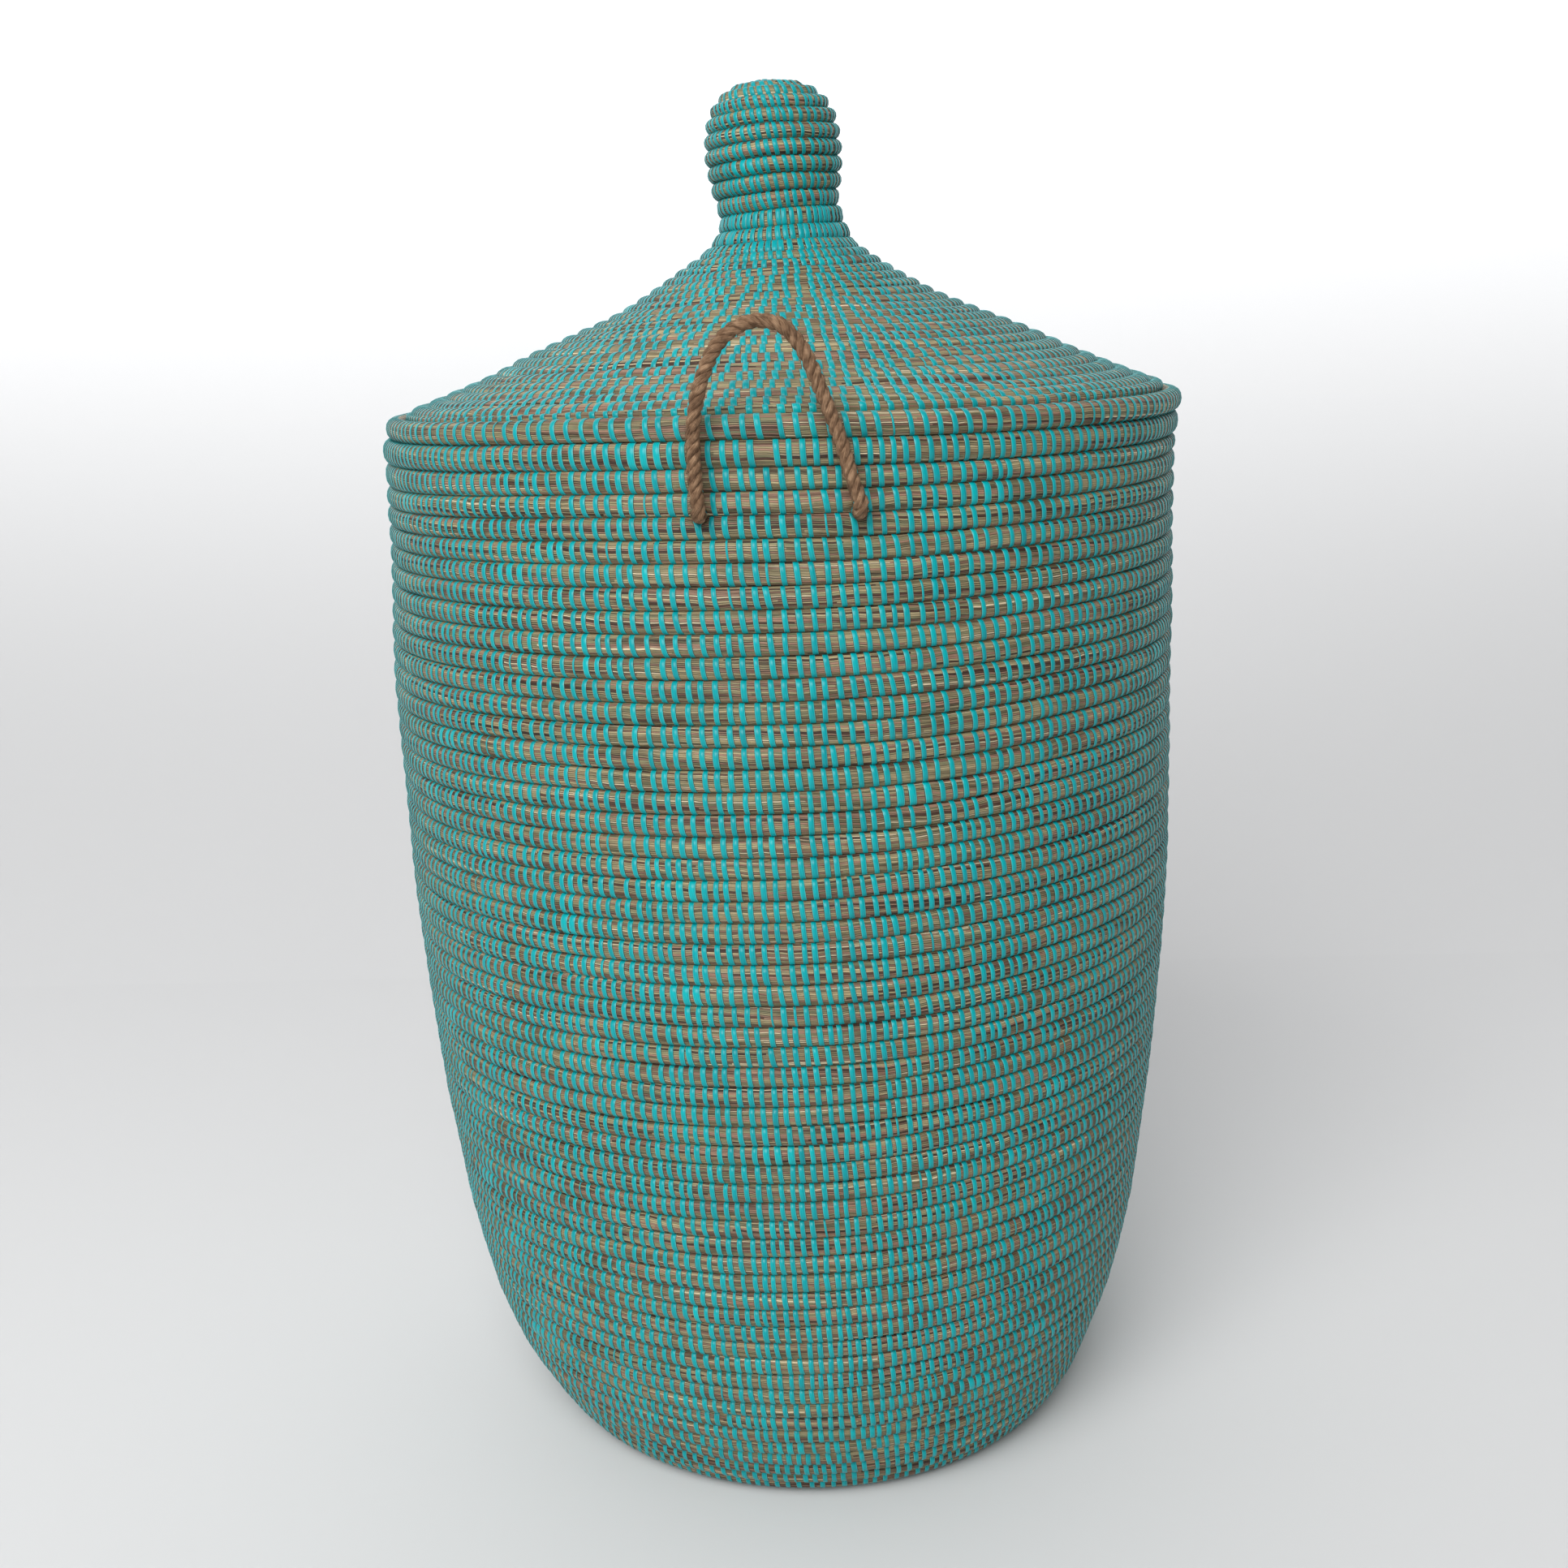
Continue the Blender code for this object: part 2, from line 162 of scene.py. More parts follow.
def addRamp(tree, value, stops, interpolation="LINEAR"):
    ramp = addNode(tree, "ShaderNodeValToRGB", {}, {0: value})
    ramp.color_ramp.interpolation = interpolation
    while len(ramp.color_ramp.elements) < len(stops):
        ramp.color_ramp.elements.new(0.5)
    for element, (place, colour) in zip(ramp.color_ramp.elements, stops):
        element.position = place
        element.color = (*colour, 1.0)
    return ramp.outputs[0]


def addMix(tree, kind, factor, first, second):
    inputs = {"Factor": factor, "A": first, "B": second}
    return addNode(tree, "ShaderNodeMix", {"data_type": "RGBA", "blend_type": kind}, inputs).outputs["Result"]


def addVector(tree, *parts):
    return addNode(tree, "ShaderNodeCombineXYZ", {}, dict(enumerate(parts))).outputs[0]


# The place on the UV map, whole and in its two parts
def readMap(tree):
    place = addNode(tree, "ShaderNodeUVMap", {"uv_map": "UVMap"}, {}).outputs[0]
    parts = addNode(tree, "ShaderNodeSeparateXYZ", {}, {0: place}).outputs
    return place, parts[0], parts[1]


def finishMaterial(tree, shader, look, colour, height):
    shader.inputs["Roughness"].default_value = look["roughness"]
    shader.inputs["Specular IOR Level"].default_value = look["gloss"]
    inputs = {"Strength": look["bump"], "Distance": look["bumpDepth"], "Height": height}
    tree.links.new(colour, shader.inputs["Base Color"])
    tree.links.new(addNode(tree, "ShaderNodeBump", {}, inputs).outputs[0], shader.inputs["Normal"])


# A screen colour made linear
def fromScreen(red, green, blue):
    def single(value):
        share = value / 255.0
        return share / 12.92 if share <= 0.04045 else ((share + 0.055) / 1.055) ** 2.4
    return (single(red), single(green), single(blue))


def grey(value):
    return (value, value, value)


grassLook = {
    "strawLength": 0.09, "strawWidth": 0.00088, "wander": 0.0022, "ripple": 1.1, "pieceShift": 37.0,
    # the palest straws are partly pale straw colour, partly painted highlights on single straws
    "palestAndHighlight": fromScreen(224, 208, 172), "pale": fromScreen(178, 164, 126), "khaki": fromScreen(160, 148, 112),
    "pinkish": fromScreen(160, 128, 106), "olive": fromScreen(142, 138, 104), "dark": fromScreen(94, 68, 54),
    "patch": (13.0, 240.0, 1.0), "patchDark": 0.6,
    "fibre": (130.0, 4.0), "streak": (22.0, 0.42),  # how often along the map, and in each straw
    # gap: the painted shade colour in the gaps between straws
    "gap": fromScreen(34, 27, 20), "gapFrom": 0.42, "crackWider": -0.22, "crackShare": 0.3, "gapShadeDark": 0.78,
    "roughness": 0.5, "gloss": 0.25, "bump": 0.5, "bumpDepth": 0.0004,
}


# Parallel straws: each has its own number across the bundle, and its own pieces along it
def makeGrassMaterial(name, look, shade):
    material, tree, shader = newMaterial(name)
    place, mapAlong, mapAcross = readMap(tree)
    bent = addMath(tree, "MULTIPLY_ADD", addNoise(tree, place, 16.0, 2.0), look["wander"] / look["strawWidth"],
                   addMath(tree, "MULTIPLY", addNoise(tree, place, 90.0, 1.0), look["ripple"]))
    across = addMath(tree, "MULTIPLY_ADD", mapAcross, 1.0 / look["strawWidth"], bent)

    def stretched(size, detail):
        parts = [addMath(tree, "MULTIPLY", part, times) for part, times in zip((mapAlong, across), size)]
        return addNoise(tree, addVector(tree, *parts), 1.0, detail)

    number = addMath(tree, "FLOOR", across)
    own = addNode(tree, "ShaderNodeTexWhiteNoise", {"noise_dimensions": "1D"}, {"W": number}).outputs[0]
    along = addMath(tree, "MULTIPLY_ADD", mapAlong, 1.0 / look["strawLength"],
                    addMath(tree, "MULTIPLY", own, look["pieceShift"]))
    straw = addVector(tree, number, addMath(tree, "FLOOR", along))
    pick = addNode(tree, "ShaderNodeTexWhiteNoise", {"noise_dimensions": "2D"}, {"Vector": straw}).outputs[0]
    tints = addRamp(tree, pick, [
        (0.0, look["dark"]), (0.06, look["pinkish"]), (0.20, look["olive"]), (0.34, look["khaki"]),
        (0.52, look["pale"]), (0.68, look["pinkish"]), (0.80, look["khaki"]), (0.95, look["palestAndHighlight"]),
    ], "CONSTANT")
    # stretches where the bundle is darker
    wide = addNode(tree, "ShaderNodeMapping", {}, {"Scale": look["patch"], "Vector": place}).outputs[0]
    patchMask = addRamp(tree, addNoise(tree, wide, 1.0, 3.0, 0.6), [(0.58, grey(0.0)), (0.68, grey(1.0))])
    darker = addMix(tree, "MIX", look["patchDark"], tints, (*look["dark"], 1.0))
    colour = addMix(tree, "MIX", patchMask, tints, darker)
    # fine fibres along each straw, and broader streaks, two or three straws wide
    fine = stretched(look["fibre"], 2.0)
    fineShade = addRamp(tree, fine, [(0.3, grey(0.76)), (0.7, grey(1.14))])
    colour = addMix(tree, "MULTIPLY", 1.0, colour, fineShade)
    # the streaks' lightest part is partly straw tone, partly a painted highlight
    streakToneAndHighlight = addRamp(tree, stretched(look["streak"], 1.0), [
        (0.34, (0.60, 0.57, 0.55)), (0.48, grey(1.0)), (0.66, (1.24, 1.2, 1.17)),
    ])
    colour = addMix(tree, "MULTIPLY", 1.0, colour, streakToneAndHighlight)
    # painted shade: dark lines in the gaps between straws, wider where some of them open into cracks
    fromMiddle = addMath(tree, "ABSOLUTE", addMath(tree, "SUBTRACT", addMath(tree, "FRACT", across), 0.5))
    chance = addMath(tree, "FRACT", addMath(tree, "MULTIPLY", pick, 7.3))
    cracked = addMath(tree, "LESS_THAN", chance, look["crackShare"])
    openFrom = addMath(tree, "MULTIPLY_ADD", cracked, look["crackWider"], look["gapFrom"])
    strawGapShadeMask = addMath(tree, "GREATER_THAN", fromMiddle, openFrom)
    gapShadeAmount = addMath(tree, "MULTIPLY", strawGapShadeMask, look["gapShadeDark"])
    colour = addMix(tree, "MIX", gapShadeAmount, colour, (*look["gap"], 1.0))
    colour = addMix(tree, "MULTIPLY", 1.0, colour, (shade, shade, shade, 1.0))
    relief = addRamp(tree, fromMiddle, [(0.0, grey(1.0)), (0.3, grey(0.8)), (0.5, grey(0.0))])
    finishMaterial(tree, shader, look, colour, addMath(tree, "MULTIPLY_ADD", fine, 0.2, relief))
    return material


stripLook = {
    # edge: partly the folded tape's paler edge, partly a painted highlight along it
    "middle": fromScreen(0, 176, 182), "side": fromScreen(10, 184, 190), "edge": fromScreen(116, 198, 190),
    # foot: painted shade, a dark band at the strip's very edges where it meets the grass
    "foot": fromScreen(30, 74, 72), "crease": (9.0, 2.2, 913.0),
    "roughness": 0.32, "gloss": 0.28, "bump": 0.25, "bumpDepth": 0.0003,
}


def makeStripMaterial(name, look, shade):
    material, tree, shader = newMaterial(name)
    mapAcross, mapRound = readMap(tree)[1:]
    fromMiddle = addMath(tree, "ABSOLUTE", addMath(tree, "SUBTRACT", mapAcross, 0.5))
    colour = addRamp(tree, fromMiddle, [
        # the pale edge is partly the tape's own folded edge and partly a painted highlight
        (0.0, look["middle"]), (0.3, look["middle"]), (0.34, look["side"]), (0.375, look["edge"]),
        # the foot colour at the very edge is painted shade between the strip and the grass
        (0.395, look["edge"]), (0.42, look["foot"]),
    ])
    tone = addNode(tree, "ShaderNodeAttribute", {"attribute_name": "tone"}, {}).outputs["Fac"]
    toneShade = addRamp(tree, tone, [
        (0.0, (0.72, 0.80, 0.82)), (0.5, grey(1.0)), (0.85, (1.12, 1.10, 1.10)), (1.0, (1.5, 1.25, 1.2)),
    ])
    colour = addMix(tree, "MULTIPLY", 1.0, colour, toneShade)
    # painted shade in the creases and painted light on their ridges: the bump's own noise darkens its low
    # places
    parts = zip((mapAcross, mapRound, tone), look["crease"])
    parts = [addMath(tree, "MULTIPLY", part, times) for part, times in parts]
    crease = addNoise(tree, addVector(tree, *parts), 1.0, 2.0, dimensions="3D")
    creasePaintedShade = addRamp(tree, crease, [(0.32, (0.80, 0.86, 0.88)), (0.62, (1.08, 1.06, 1.05))])
    colour = addMix(tree, "MULTIPLY", 1.0, colour, creasePaintedShade)
    colour = addMix(tree, "MULTIPLY", 1.0, colour, (shade, shade, shade, 1.0))
    finishMaterial(tree, shader, look, colour, crease)
    return material


ropeLook = {
    "dark": fromScreen(74, 54, 39), "middle": fromScreen(120, 92, 69), "light": fromScreen(160, 130, 102),
    "fibreLength": 0.006, "fibreWidth": 0.00028,
    "roughness": 0.85, "gloss": 0.2, "bump": 0.6, "bumpDepth": 0.0004,
}


def makeRopeMaterial(name, look):
    material, tree, shader = newMaterial(name)
    place = addNode(tree, "ShaderNodeUVMap", {"uv_map": "UVMap"}, {}).outputs[0]
    size = (1.0 / look["fibreLength"], 1.0 / look["fibreWidth"], 1.0)
    stretched = addNode(tree, "ShaderNodeMapping", {}, {"Scale": size, "Vector": place}).outputs[0]
    fibre = addNoise(tree, stretched, 1.0, 4.0, 0.65)
    blotch = addNoise(tree, place, 260.0, 2.0)
    both = addMath(tree, "MULTIPLY_ADD", blotch, 0.45, addMath(tree, "MULTIPLY", fibre, 0.6))
    colour = addRamp(tree, both, [(0.36, look["dark"]), (0.52, look["middle"]), (0.68, look["light"])])
    finishMaterial(tree, shader, look, colour, fibre)
    return material


grass = makeGrassMaterial("dryGrass", grassLook, 0.76)
# The lid's grass is a lighter copy of the body's grass: painted light where the lid faces up to the light
lidGrassPaintedLighter = makeGrassMaterial("lidDryGrassPaintedLighter", grassLook, 0.92)
strip = makeStripMaterial("turquoiseStrip", stripLook, 0.74)
jute = makeRopeMaterial("juteRope", ropeLook)
print("stage: materials")

# The body's outline, as in the part's source, with the small swells that the real one has
bodyShape = {
    "wallRadius": 0.2243, "rimRadius": 0.2243, "rimCourse": 0.012, "straightDepth": 0.240, "baseRadius": 0.148,
    "taperPower": 1.85, "roundPower": 0.475, "thickness": 0.011, "pitch": 0.011, "joinGap": 0.0003,
    "swellAt": [0.0, 0.004, 0.012, 0.03, 0.05, 0.08, 0.13, 0.18, 0.22, 0.26, 0.30, 0.34,
                0.42, 0.46, 0.50, 0.535, 0.58],
    "swell": [0.0016, 0.0012, -0.0004, -0.0012, -0.0002, 0.0012, 0.0012, 0.0, 0.0002, 0.0, 0.0006, 0.0013,
              0.0016, 0.0018, 0.0008, -0.0006, -0.0008],
}
lidShape = {
    "edgeRadius": 0.2238, "rollHeight": 0.0112, "rollWidth": 0.0128, "joinGap": 0.0003,
    "coneEdge": 0.2140, "coneEdgeRise": 0.0120, "coneSag": 0.0062, "coneSagSkew": 1.5, "conePitch": 0.0088,
    "neckRadius": 0.032, "neckRise": 0.1135, "filletRadius": 0.024, "filletTurn": math.radians(60.0),
    "knobRadius": 0.038, "knobWidestRise": 0.1427, "knobTopRise": 0.1814, "domePower": 2.8,
    "ringOuter": 0.2095, "ringWidth": 0.009, "ringDrop": 0.018,
    "liftAt": [0.0, 0.03, 0.06, 0.12, 0.20, 0.28, 0.34, 0.43, 0.52, 0.58, 0.65, 0.73],
    "lift": [0.0027, 0.0025, 0.0021, 0.0013, 0.0011, 0.0012, 0.0019, 0.0028, 0.0026, 0.0020, 0.0011, 0.0],
    "swellAt": [0.095, 0.100, 0.106, 0.116, 0.1265, 0.132, 0.138, 0.150, 0.165],
    "swell": [0.0, 0.0024, 0.0024, 0.0027, 0.0023, 0.0013, 0.0006, 0.0005, 0.0],
}


# Even steps along a line of (radius, height) points, with the direction at each
def walkOutline(points, step=0.001, smoothing=5):
    line = np.array(points, float)
    keep = np.concatenate([[True], np.hypot(*np.diff(line, axis=0).T) > 1e-7])
    line = line[keep]
    lengths = np.concatenate([[0.0], np.cumsum(np.hypot(*np.diff(line, axis=0).T))])
    count = max(int(round(lengths[-1] / step)), 8)
    along = np.linspace(0.0, lengths[-1], count + 1)
    radius = np.interp(along, lengths, line[:, 0])
    height = np.interp(along, lengths, line[:, 1])
    slopeR = np.gradient(radius, along)
    slopeZ = np.gradient(height, along)
    kernel = np.ones(smoothing) / smoothing
    reach = smoothing // 2
    slopeR = np.convolve(np.pad(slopeR, reach, "edge"), kernel, "valid")
    slopeZ = np.convolve(np.pad(slopeZ, reach, "edge"), kernel, "valid")
    size = np.hypot(slopeR, slopeZ)
    return {"along": along, "radius": radius, "height": height, "length": along[-1],
            "slopeR": slopeR / size, "slopeZ": slopeZ / size}


def bodyOutline(shape):
    points = [(radius, 0.0) for radius in np.linspace(0.0, shape["baseRadius"], 60)]
    top = bodyHeight - shape["rimCourse"] - shape["joinGap"]
    for share in np.linspace(0.0, 1.0, 401):
        height = top * share**4
        depth = bodyHeight - height
        radius = shape["wallRadius"]
        if depth > shape["straightDepth"]:
            far = min((depth - shape["straightDepth"]) / (bodyHeight - shape["straightDepth"]), 1.0)
            fullness = (1.0 - far ** shape["taperPower"]) ** shape["roundPower"]
            radius = shape["baseRadius"] + (shape["wallRadius"] - shape["baseRadius"]) * fullness
        points.append((radius + np.interp(height, shape["swellAt"], shape["swell"]), height))
    return walkOutline(points)


def lidOutline(shape):
    points = []
    edge = shape["coneEdge"]
    edgeRise = shape["coneEdgeRise"]
    neck = shape["neckRadius"]
    neckRise = shape["neckRise"]
    fillet = shape["filletRadius"]
    turn = shape["filletTurn"]
    knob = shape["knobRadius"]
    widest = shape["knobWidestRise"]
    footRadius = neck + fillet * (1.0 - math.cos(turn))
    footRise = neckRise - fillet * math.sin(turn)
    for share in np.linspace(0.0, 1.0, 60, endpoint=False):
        rise = edgeRise + (footRise - edgeRise) * share
        sag = shape["coneSag"] * math.sin(math.pi * share ** shape["coneSagSkew"])
        lift = np.interp(share, shape["liftAt"], shape["lift"])
        points.append((edge + (footRadius - edge) * share, rise - sag + lift))
    for share in np.linspace(1.0, 0.0, 30):
        angle = turn * share
        points.append((neck + fillet * (1.0 - math.cos(angle)), neckRise - fillet * math.sin(angle)))
    for share in np.linspace(0.0, 1.0, 60, endpoint=False):
        swell = (1.0 - math.cos(math.pi * share)) / 2.0
        points.append((neck + (knob - neck) * swell, neckRise + (widest - neckRise) * share))
    for share in np.linspace(0.0, 1.0, 90):
        angle = share * math.pi / 2.0
        across = max(math.cos(angle), 0.0) ** (2.0 / shape["domePower"])
        above = math.sin(angle) ** (2.0 / shape["domePower"])
        points.append((knob * across, widest + (shape["knobTopRise"] - widest) * above))
    swollen = []
    for radius, rise in points:
        swollen.append((radius + np.interp(rise, shape["swellAt"], shape["swell"]), bodyHeight + rise))
    return walkOutline(swollen)


bodyLine = bodyOutline(bodyShape)
lidLine = lidOutline(lidShape)
stripProud = 0.0004  # how far the strip stands off the grass
# Each course reaches a little into its neighbours, and the coils' ends go past the outlines
courseFit = {"overlap": 1.05, "taper": 0.35, "beyond": 0.0008}


# Slow waves that no two courses share
def waves(turn, size, seed):
    random = np.random.default_rng(seed)
    total = np.zeros_like(turn)
    for _ in range(5):
        total = total + np.sin(fullTurn * turn * random.uniform(0.6, 9.0) + random.uniform(0.0, fullTurn))
    return size * total / 5.0


# Waves of the lines between the courses; both neighbours share them
def lineWaves(along, azimuth, size, seed):
    random = np.random.default_rng(seed)
    total = np.zeros(np.broadcast(along, azimuth).shape)
    for _ in range(6):
        around = random.integers(1, 6)
        wound = around * azimuth + along * random.uniform(-60.0, 60.0)
        total = total + np.sin(wound + random.uniform(0.0, fullTurn))
    return size * total / 6.0


lidLean = 0.0068  # the mouth and the lid lie a little higher on the right
swayTurn = np.radians([-180, -154, -136, -116, -95, -86, -70, -53, -30, -15, 0, 90, 180])
swayWall = np.array([-10, -6, 4, 13, 14, 10, 5, 2, -6, -10, -8, 0, -10]) * 1e-4
swayMouth = np.array([-34, -32, -20, 0, 8, 5, -6, -13, -14, -9, -6, 0, -34]) * 1e-4


# How far the courses rise or drop round the basket, which isn't quite round or level
def sway(azimuth, height):
    turned = np.mod(azimuth + math.pi, fullTurn) - math.pi
    wall = np.interp(turned, swayTurn, swayWall) * np.interp(height, [0.15, 0.30], [0.0, 1.0])
    mouth = np.interp(turned, swayTurn, swayMouth)
    share = np.interp(height, [0.52, 0.584], [0.0, 1.0])
    return (wall + (mouth - wall) * share) * np.interp(height, [0.62, 0.70], [1.0, 0.0])


bodyCourses = {
    "line": bodyLine, "pitch": bodyShape["pitch"], "last": 68, "taperFrom": 0.56, "taperTo": 0.39,
    "thick": [(0.0, 0.0051)], "round": [(0.0, 2.6), (0.12, 2.5), (0.2, 2.35)],
    "tiltAt": [0.0, 0.148, 0.205, 0.278, 0.370, 0.455, 0.555, 0.65, 0.705],
    "tilt": [0.0, -0.002, -0.001, 0.0005, 0.0028, 0.0034, 0.0030, 0.0018, 0.0014],
    "shiftAt": [0.183, 0.216, 0.268, 0.371, 0.47, 0.551, 0.629, 0.669, 0.752],
    "shift": [0.005, 0.0018, 0.0013, 0.0, -0.0006, -0.0014, -0.0028, -0.0016, -0.0010],
    "lean": 0.0, "heaveAt": [0.0], "heave": [0.0], "lineWave": 0.0005, "bulge": 0.00028, "seed": 11,
}


# The coil starts on the base's middle and ends in a taper under the rim course
def bodyLower(turn):
    last = bodyCourses["last"]
    taperFrom = bodyCourses["taperFrom"]
    level = bodyLine["length"]
    plain = level - bodyShape["pitch"] * (last - turn)
    share = np.clip((turn - last + taperFrom) / (taperFrom - bodyCourses["taperTo"]), 0.0, 1.0)
    lifted = plain + (level - plain) * share * share * (3.0 - 2.0 * share)
    return np.minimum(lifted, level)


bodyCourses["lower"] = bodyLower
bodyCourses["upper"] = lambda turn: bodyLower(turn + 1.0)

lidCourses = {
    "line": lidLine, "pitch": lidShape["conePitch"], "first": 0.5,
    "pitchAt": [0.0, 0.09, 0.13, 0.17, 0.205, 0.23],
    "pitchSize": [0.0104, 0.0101, 0.0090, 0.0081, 0.0084, 0.0091],
    "thick": [(0.17, 0.0044), (0.21, 0.0045), (0.262, 0.0043), (0.278, 0.0032)],
    "round": [(0.0, 2.35), (0.15, 2.3), (0.19, 2.2), (0.22, 2.05)],
    "tiltAt": [0.0], "tilt": [0.0],
    "shiftAt": [0.0, 0.18, 0.195, 0.206, 0.217, 0.24, 0.3],
    "shift": [0.0021, 0.0022, 0.0040, 0.0038, 0.0010, -0.0002, -0.0010],
    "lean": lidLean, "heaveAt": [0.015, 0.05, 0.10, 0.13, 0.152, 0.18, 0.20],
    "heave": [0.0004, 0.0009, 0.0013, 0.0015, 0.0011, 0.0010, 0.0],
    "lineWave": 0.0006, "bulge": 0.0003, "seed": 12,
}
lidFine = np.linspace(0.0, lidLine["length"], 600)
lidPitches = np.interp(lidFine, lidCourses["pitchAt"], lidCourses["pitchSize"])
lidCounts = np.concatenate([[0.0], np.cumsum(np.diff(lidFine) * 2.0 / (lidPitches[1:] + lidPitches[:-1]))])
lidCourses["last"] = lidCourses["first"] + lidCounts[-1]


def lidLower(turn):
    count = turn - lidCourses["first"]
    beyond = np.maximum(count - lidCounts[-1], 0.0) * lidPitches[-1]
    return np.interp(count, lidCounts, lidFine) + beyond


lidCourses["lower"] = lidLower
lidCourses["upper"] = lambda turn: np.minimum(lidLower(turn + 1.0), lidLine["length"] + courseFit["beyond"])


# A single level course: a closed ring between two heights
def levelCourse(outerRadius, low, high, width, roundness, seed, shift=0.0):
    line = walkOutline([(outerRadius, low), (outerRadius, high)], 0.0005, 1)
    thick = width / 2.0 - stripProud
    return {
        "line": line, "thick": [(0.0, thick)], "round": [(0.0, roundness)],
        "shiftAt": [0.0], "shift": [shift], "heaveAt": [0.0], "heave": [0.0], "lean": lidLean, "bulge": 0.0,
        "lower": lambda turn: np.zeros_like(turn), "upper": lambda turn: np.full_like(turn, line["length"]),
        "pitch": line["length"], "closed": True, "seed": seed,
    }


rimLow = bodyHeight - bodyShape["rimCourse"]
rimCourses = levelCourse(bodyShape["rimRadius"], rimLow, bodyHeight, bodyShape["thickness"], 2.35, 13, -0.0006)
rollLow = bodyHeight + lidShape["joinGap"]
rollHigh = rollLow + lidShape["rollHeight"]
rollCourses = levelCourse(lidShape["edgeRadius"], rollLow, rollHigh, lidShape["rollWidth"], 2.3, 14, 0.0015)
ringRadius = lidShape["ringOuter"]
ringWidth = lidShape["ringWidth"]
ringFoot = bodyHeight - lidShape["ringDrop"]
ringMiddle = bodyHeight - lidShape["ringDrop"] / 2.0
ringHigh = levelCourse(ringRadius, ringMiddle, bodyHeight + 0.002, ringWidth, 2.2, 15)
ringLow = levelCourse(ringRadius, ringFoot, ringMiddle, ringWidth, 2.2, 16)

ropeHoles = {
    "across": 0.037, "height": bodyHeight - 0.033, "radius": 0.0036, "reach": 0.03,
    "wall": 0.22, "closeUp": 0.02, "fineTurn": 0.014, "fineSteps": 19,
}


# Grass and strips give way to the rope where it passes through the wall
def makeRoom(points):
    for across in (-ropeHoles["across"], ropeHoles["across"]):
        for side in (-1.0, 1.0):
            offX = points[..., 0] - across
            offZ = points[..., 2] - ropeHoles["height"]
            distance = np.maximum(np.hypot(offX, offZ), 1e-5)
            near = (distance < ropeHoles["reach"]) & (points[..., 1] * side > 0.1)
            grow = np.where(near, (distance**3 + ropeHoles["radius"] ** 3) ** (1.0 / 3.0) / distance, 1.0)
            points[..., 0] = across + offX * grow
            points[..., 2] = ropeHoles["height"] + offZ * grow
    return points


# The bundle's middle at a turn: its place along the outline, half its pitch, its thickness, its radius
# and height, and the outline's direction there
def courseMiddle(course, turn):
    line = course["line"]
    azimuth = frontAngle + fullTurn * turn
    lower = course["lower"](turn)
    upper = course["upper"](turn)
    if not course.get("closed"):
        edges = []
        for place in (lower, upper):
            place = np.clip(place, 0.0, line["length"] + courseFit["beyond"])
            tilt = np.interp(place, course["tiltAt"], course["tilt"]) * np.sin(azimuth - frontAngle)
            edges.append(place + tilt + lineWaves(place, azimuth, course["lineWave"], course["seed"]))
        lower, upper = edges
    half = np.maximum((upper - lower) / 2.0, 0.0)
    middle = (lower + upper) / 2.0
    slopeR = np.interp(middle, line["along"], line["slopeR"])
    slopeZ = np.interp(middle, line["along"], line["slopeZ"])
    thick = np.interp(middle, *zip(*course["thick"]))
    deep = thick + stripProud - waves(turn, course["bulge"], course["seed"])
    beyond = middle - np.clip(middle, 0.0, line["length"])
    placeR = np.interp(middle, line["along"], line["radius"]) - slopeZ * deep + slopeR * beyond
    placeZ = np.interp(middle, line["along"], line["height"]) + slopeR * deep + slopeZ * beyond
    return middle, half, thick, placeR, placeZ, slopeR, slopeZ


# A point of a course: turn number, angle round the course's section (0 outside, a quarter turn at
# its upper neighbour) and height above the grass
def coursePoint(course, turn, around, lift):
    turn, around, lift = np.broadcast_arrays(turn, around, lift)
    azimuth = frontAngle + fullTurn * turn
    middle, half, thick, placeR, placeZ, slopeR, slopeZ = courseMiddle(course, turn)
    taper = np.sqrt(np.clip(half / (courseFit["taper"] * course["pitch"]), 0.0, 1.0))
    power = 2.0 / np.interp(middle, *zip(*course["round"]))
    cosine = np.cos(around)
    sine = np.sin(around)
    out = thick * taper * np.sign(cosine) * np.abs(cosine) ** power + lift * cosine
    reach = courseFit["overlap"] * np.abs(sine) ** power
    riseR = slopeR * half * np.sign(sine) * reach
    riseZ = slopeZ * half * np.sign(sine) * reach
    if not course.get("closed"):
        for side in (-1.0, 1.0):  # towards the courses below and above, so that they meet
            beside = courseMiddle(course, turn + side)
            share = reach * half / np.maximum(half + beside[1], 1e-6)
            riseR = np.where(sine * side > 0.0, (beside[3] - placeR) * share, riseR)
            riseZ = np.where(sine * side > 0.0, (beside[4] - placeZ) * share, riseZ)
    flatRadius = placeR + slopeZ * out + slopeR * lift * sine + riseR
    flatHeight = placeZ - slopeR * out + slopeZ * lift * sine + riseZ
    shift = np.interp(middle, course["shiftAt"], course["shift"])
    heave = np.interp(middle, course["heaveAt"], course["heave"]) + course["lean"] * flatRadius
    level = flatHeight + heave * np.cos(azimuth) + sway(azimuth, flatHeight)
    points = np.stack([flatRadius * np.cos(azimuth) + shift, flatRadius * np.sin(azimuth), level], -1)
    return makeRoom(points)


def courseRadius(course, turn):
    middle = (course["lower"](turn) + course["upper"](turn)) / 2.0
    return np.maximum(np.interp(middle, course["line"]["along"], course["line"]["radius"]), 0.004)


def fineTurns(first, last):
    return np.linspace(first, last, max(int((last - first) * 24), 24) + 1)


def addUp(values):
    return np.concatenate([[0.0], np.cumsum(values)])


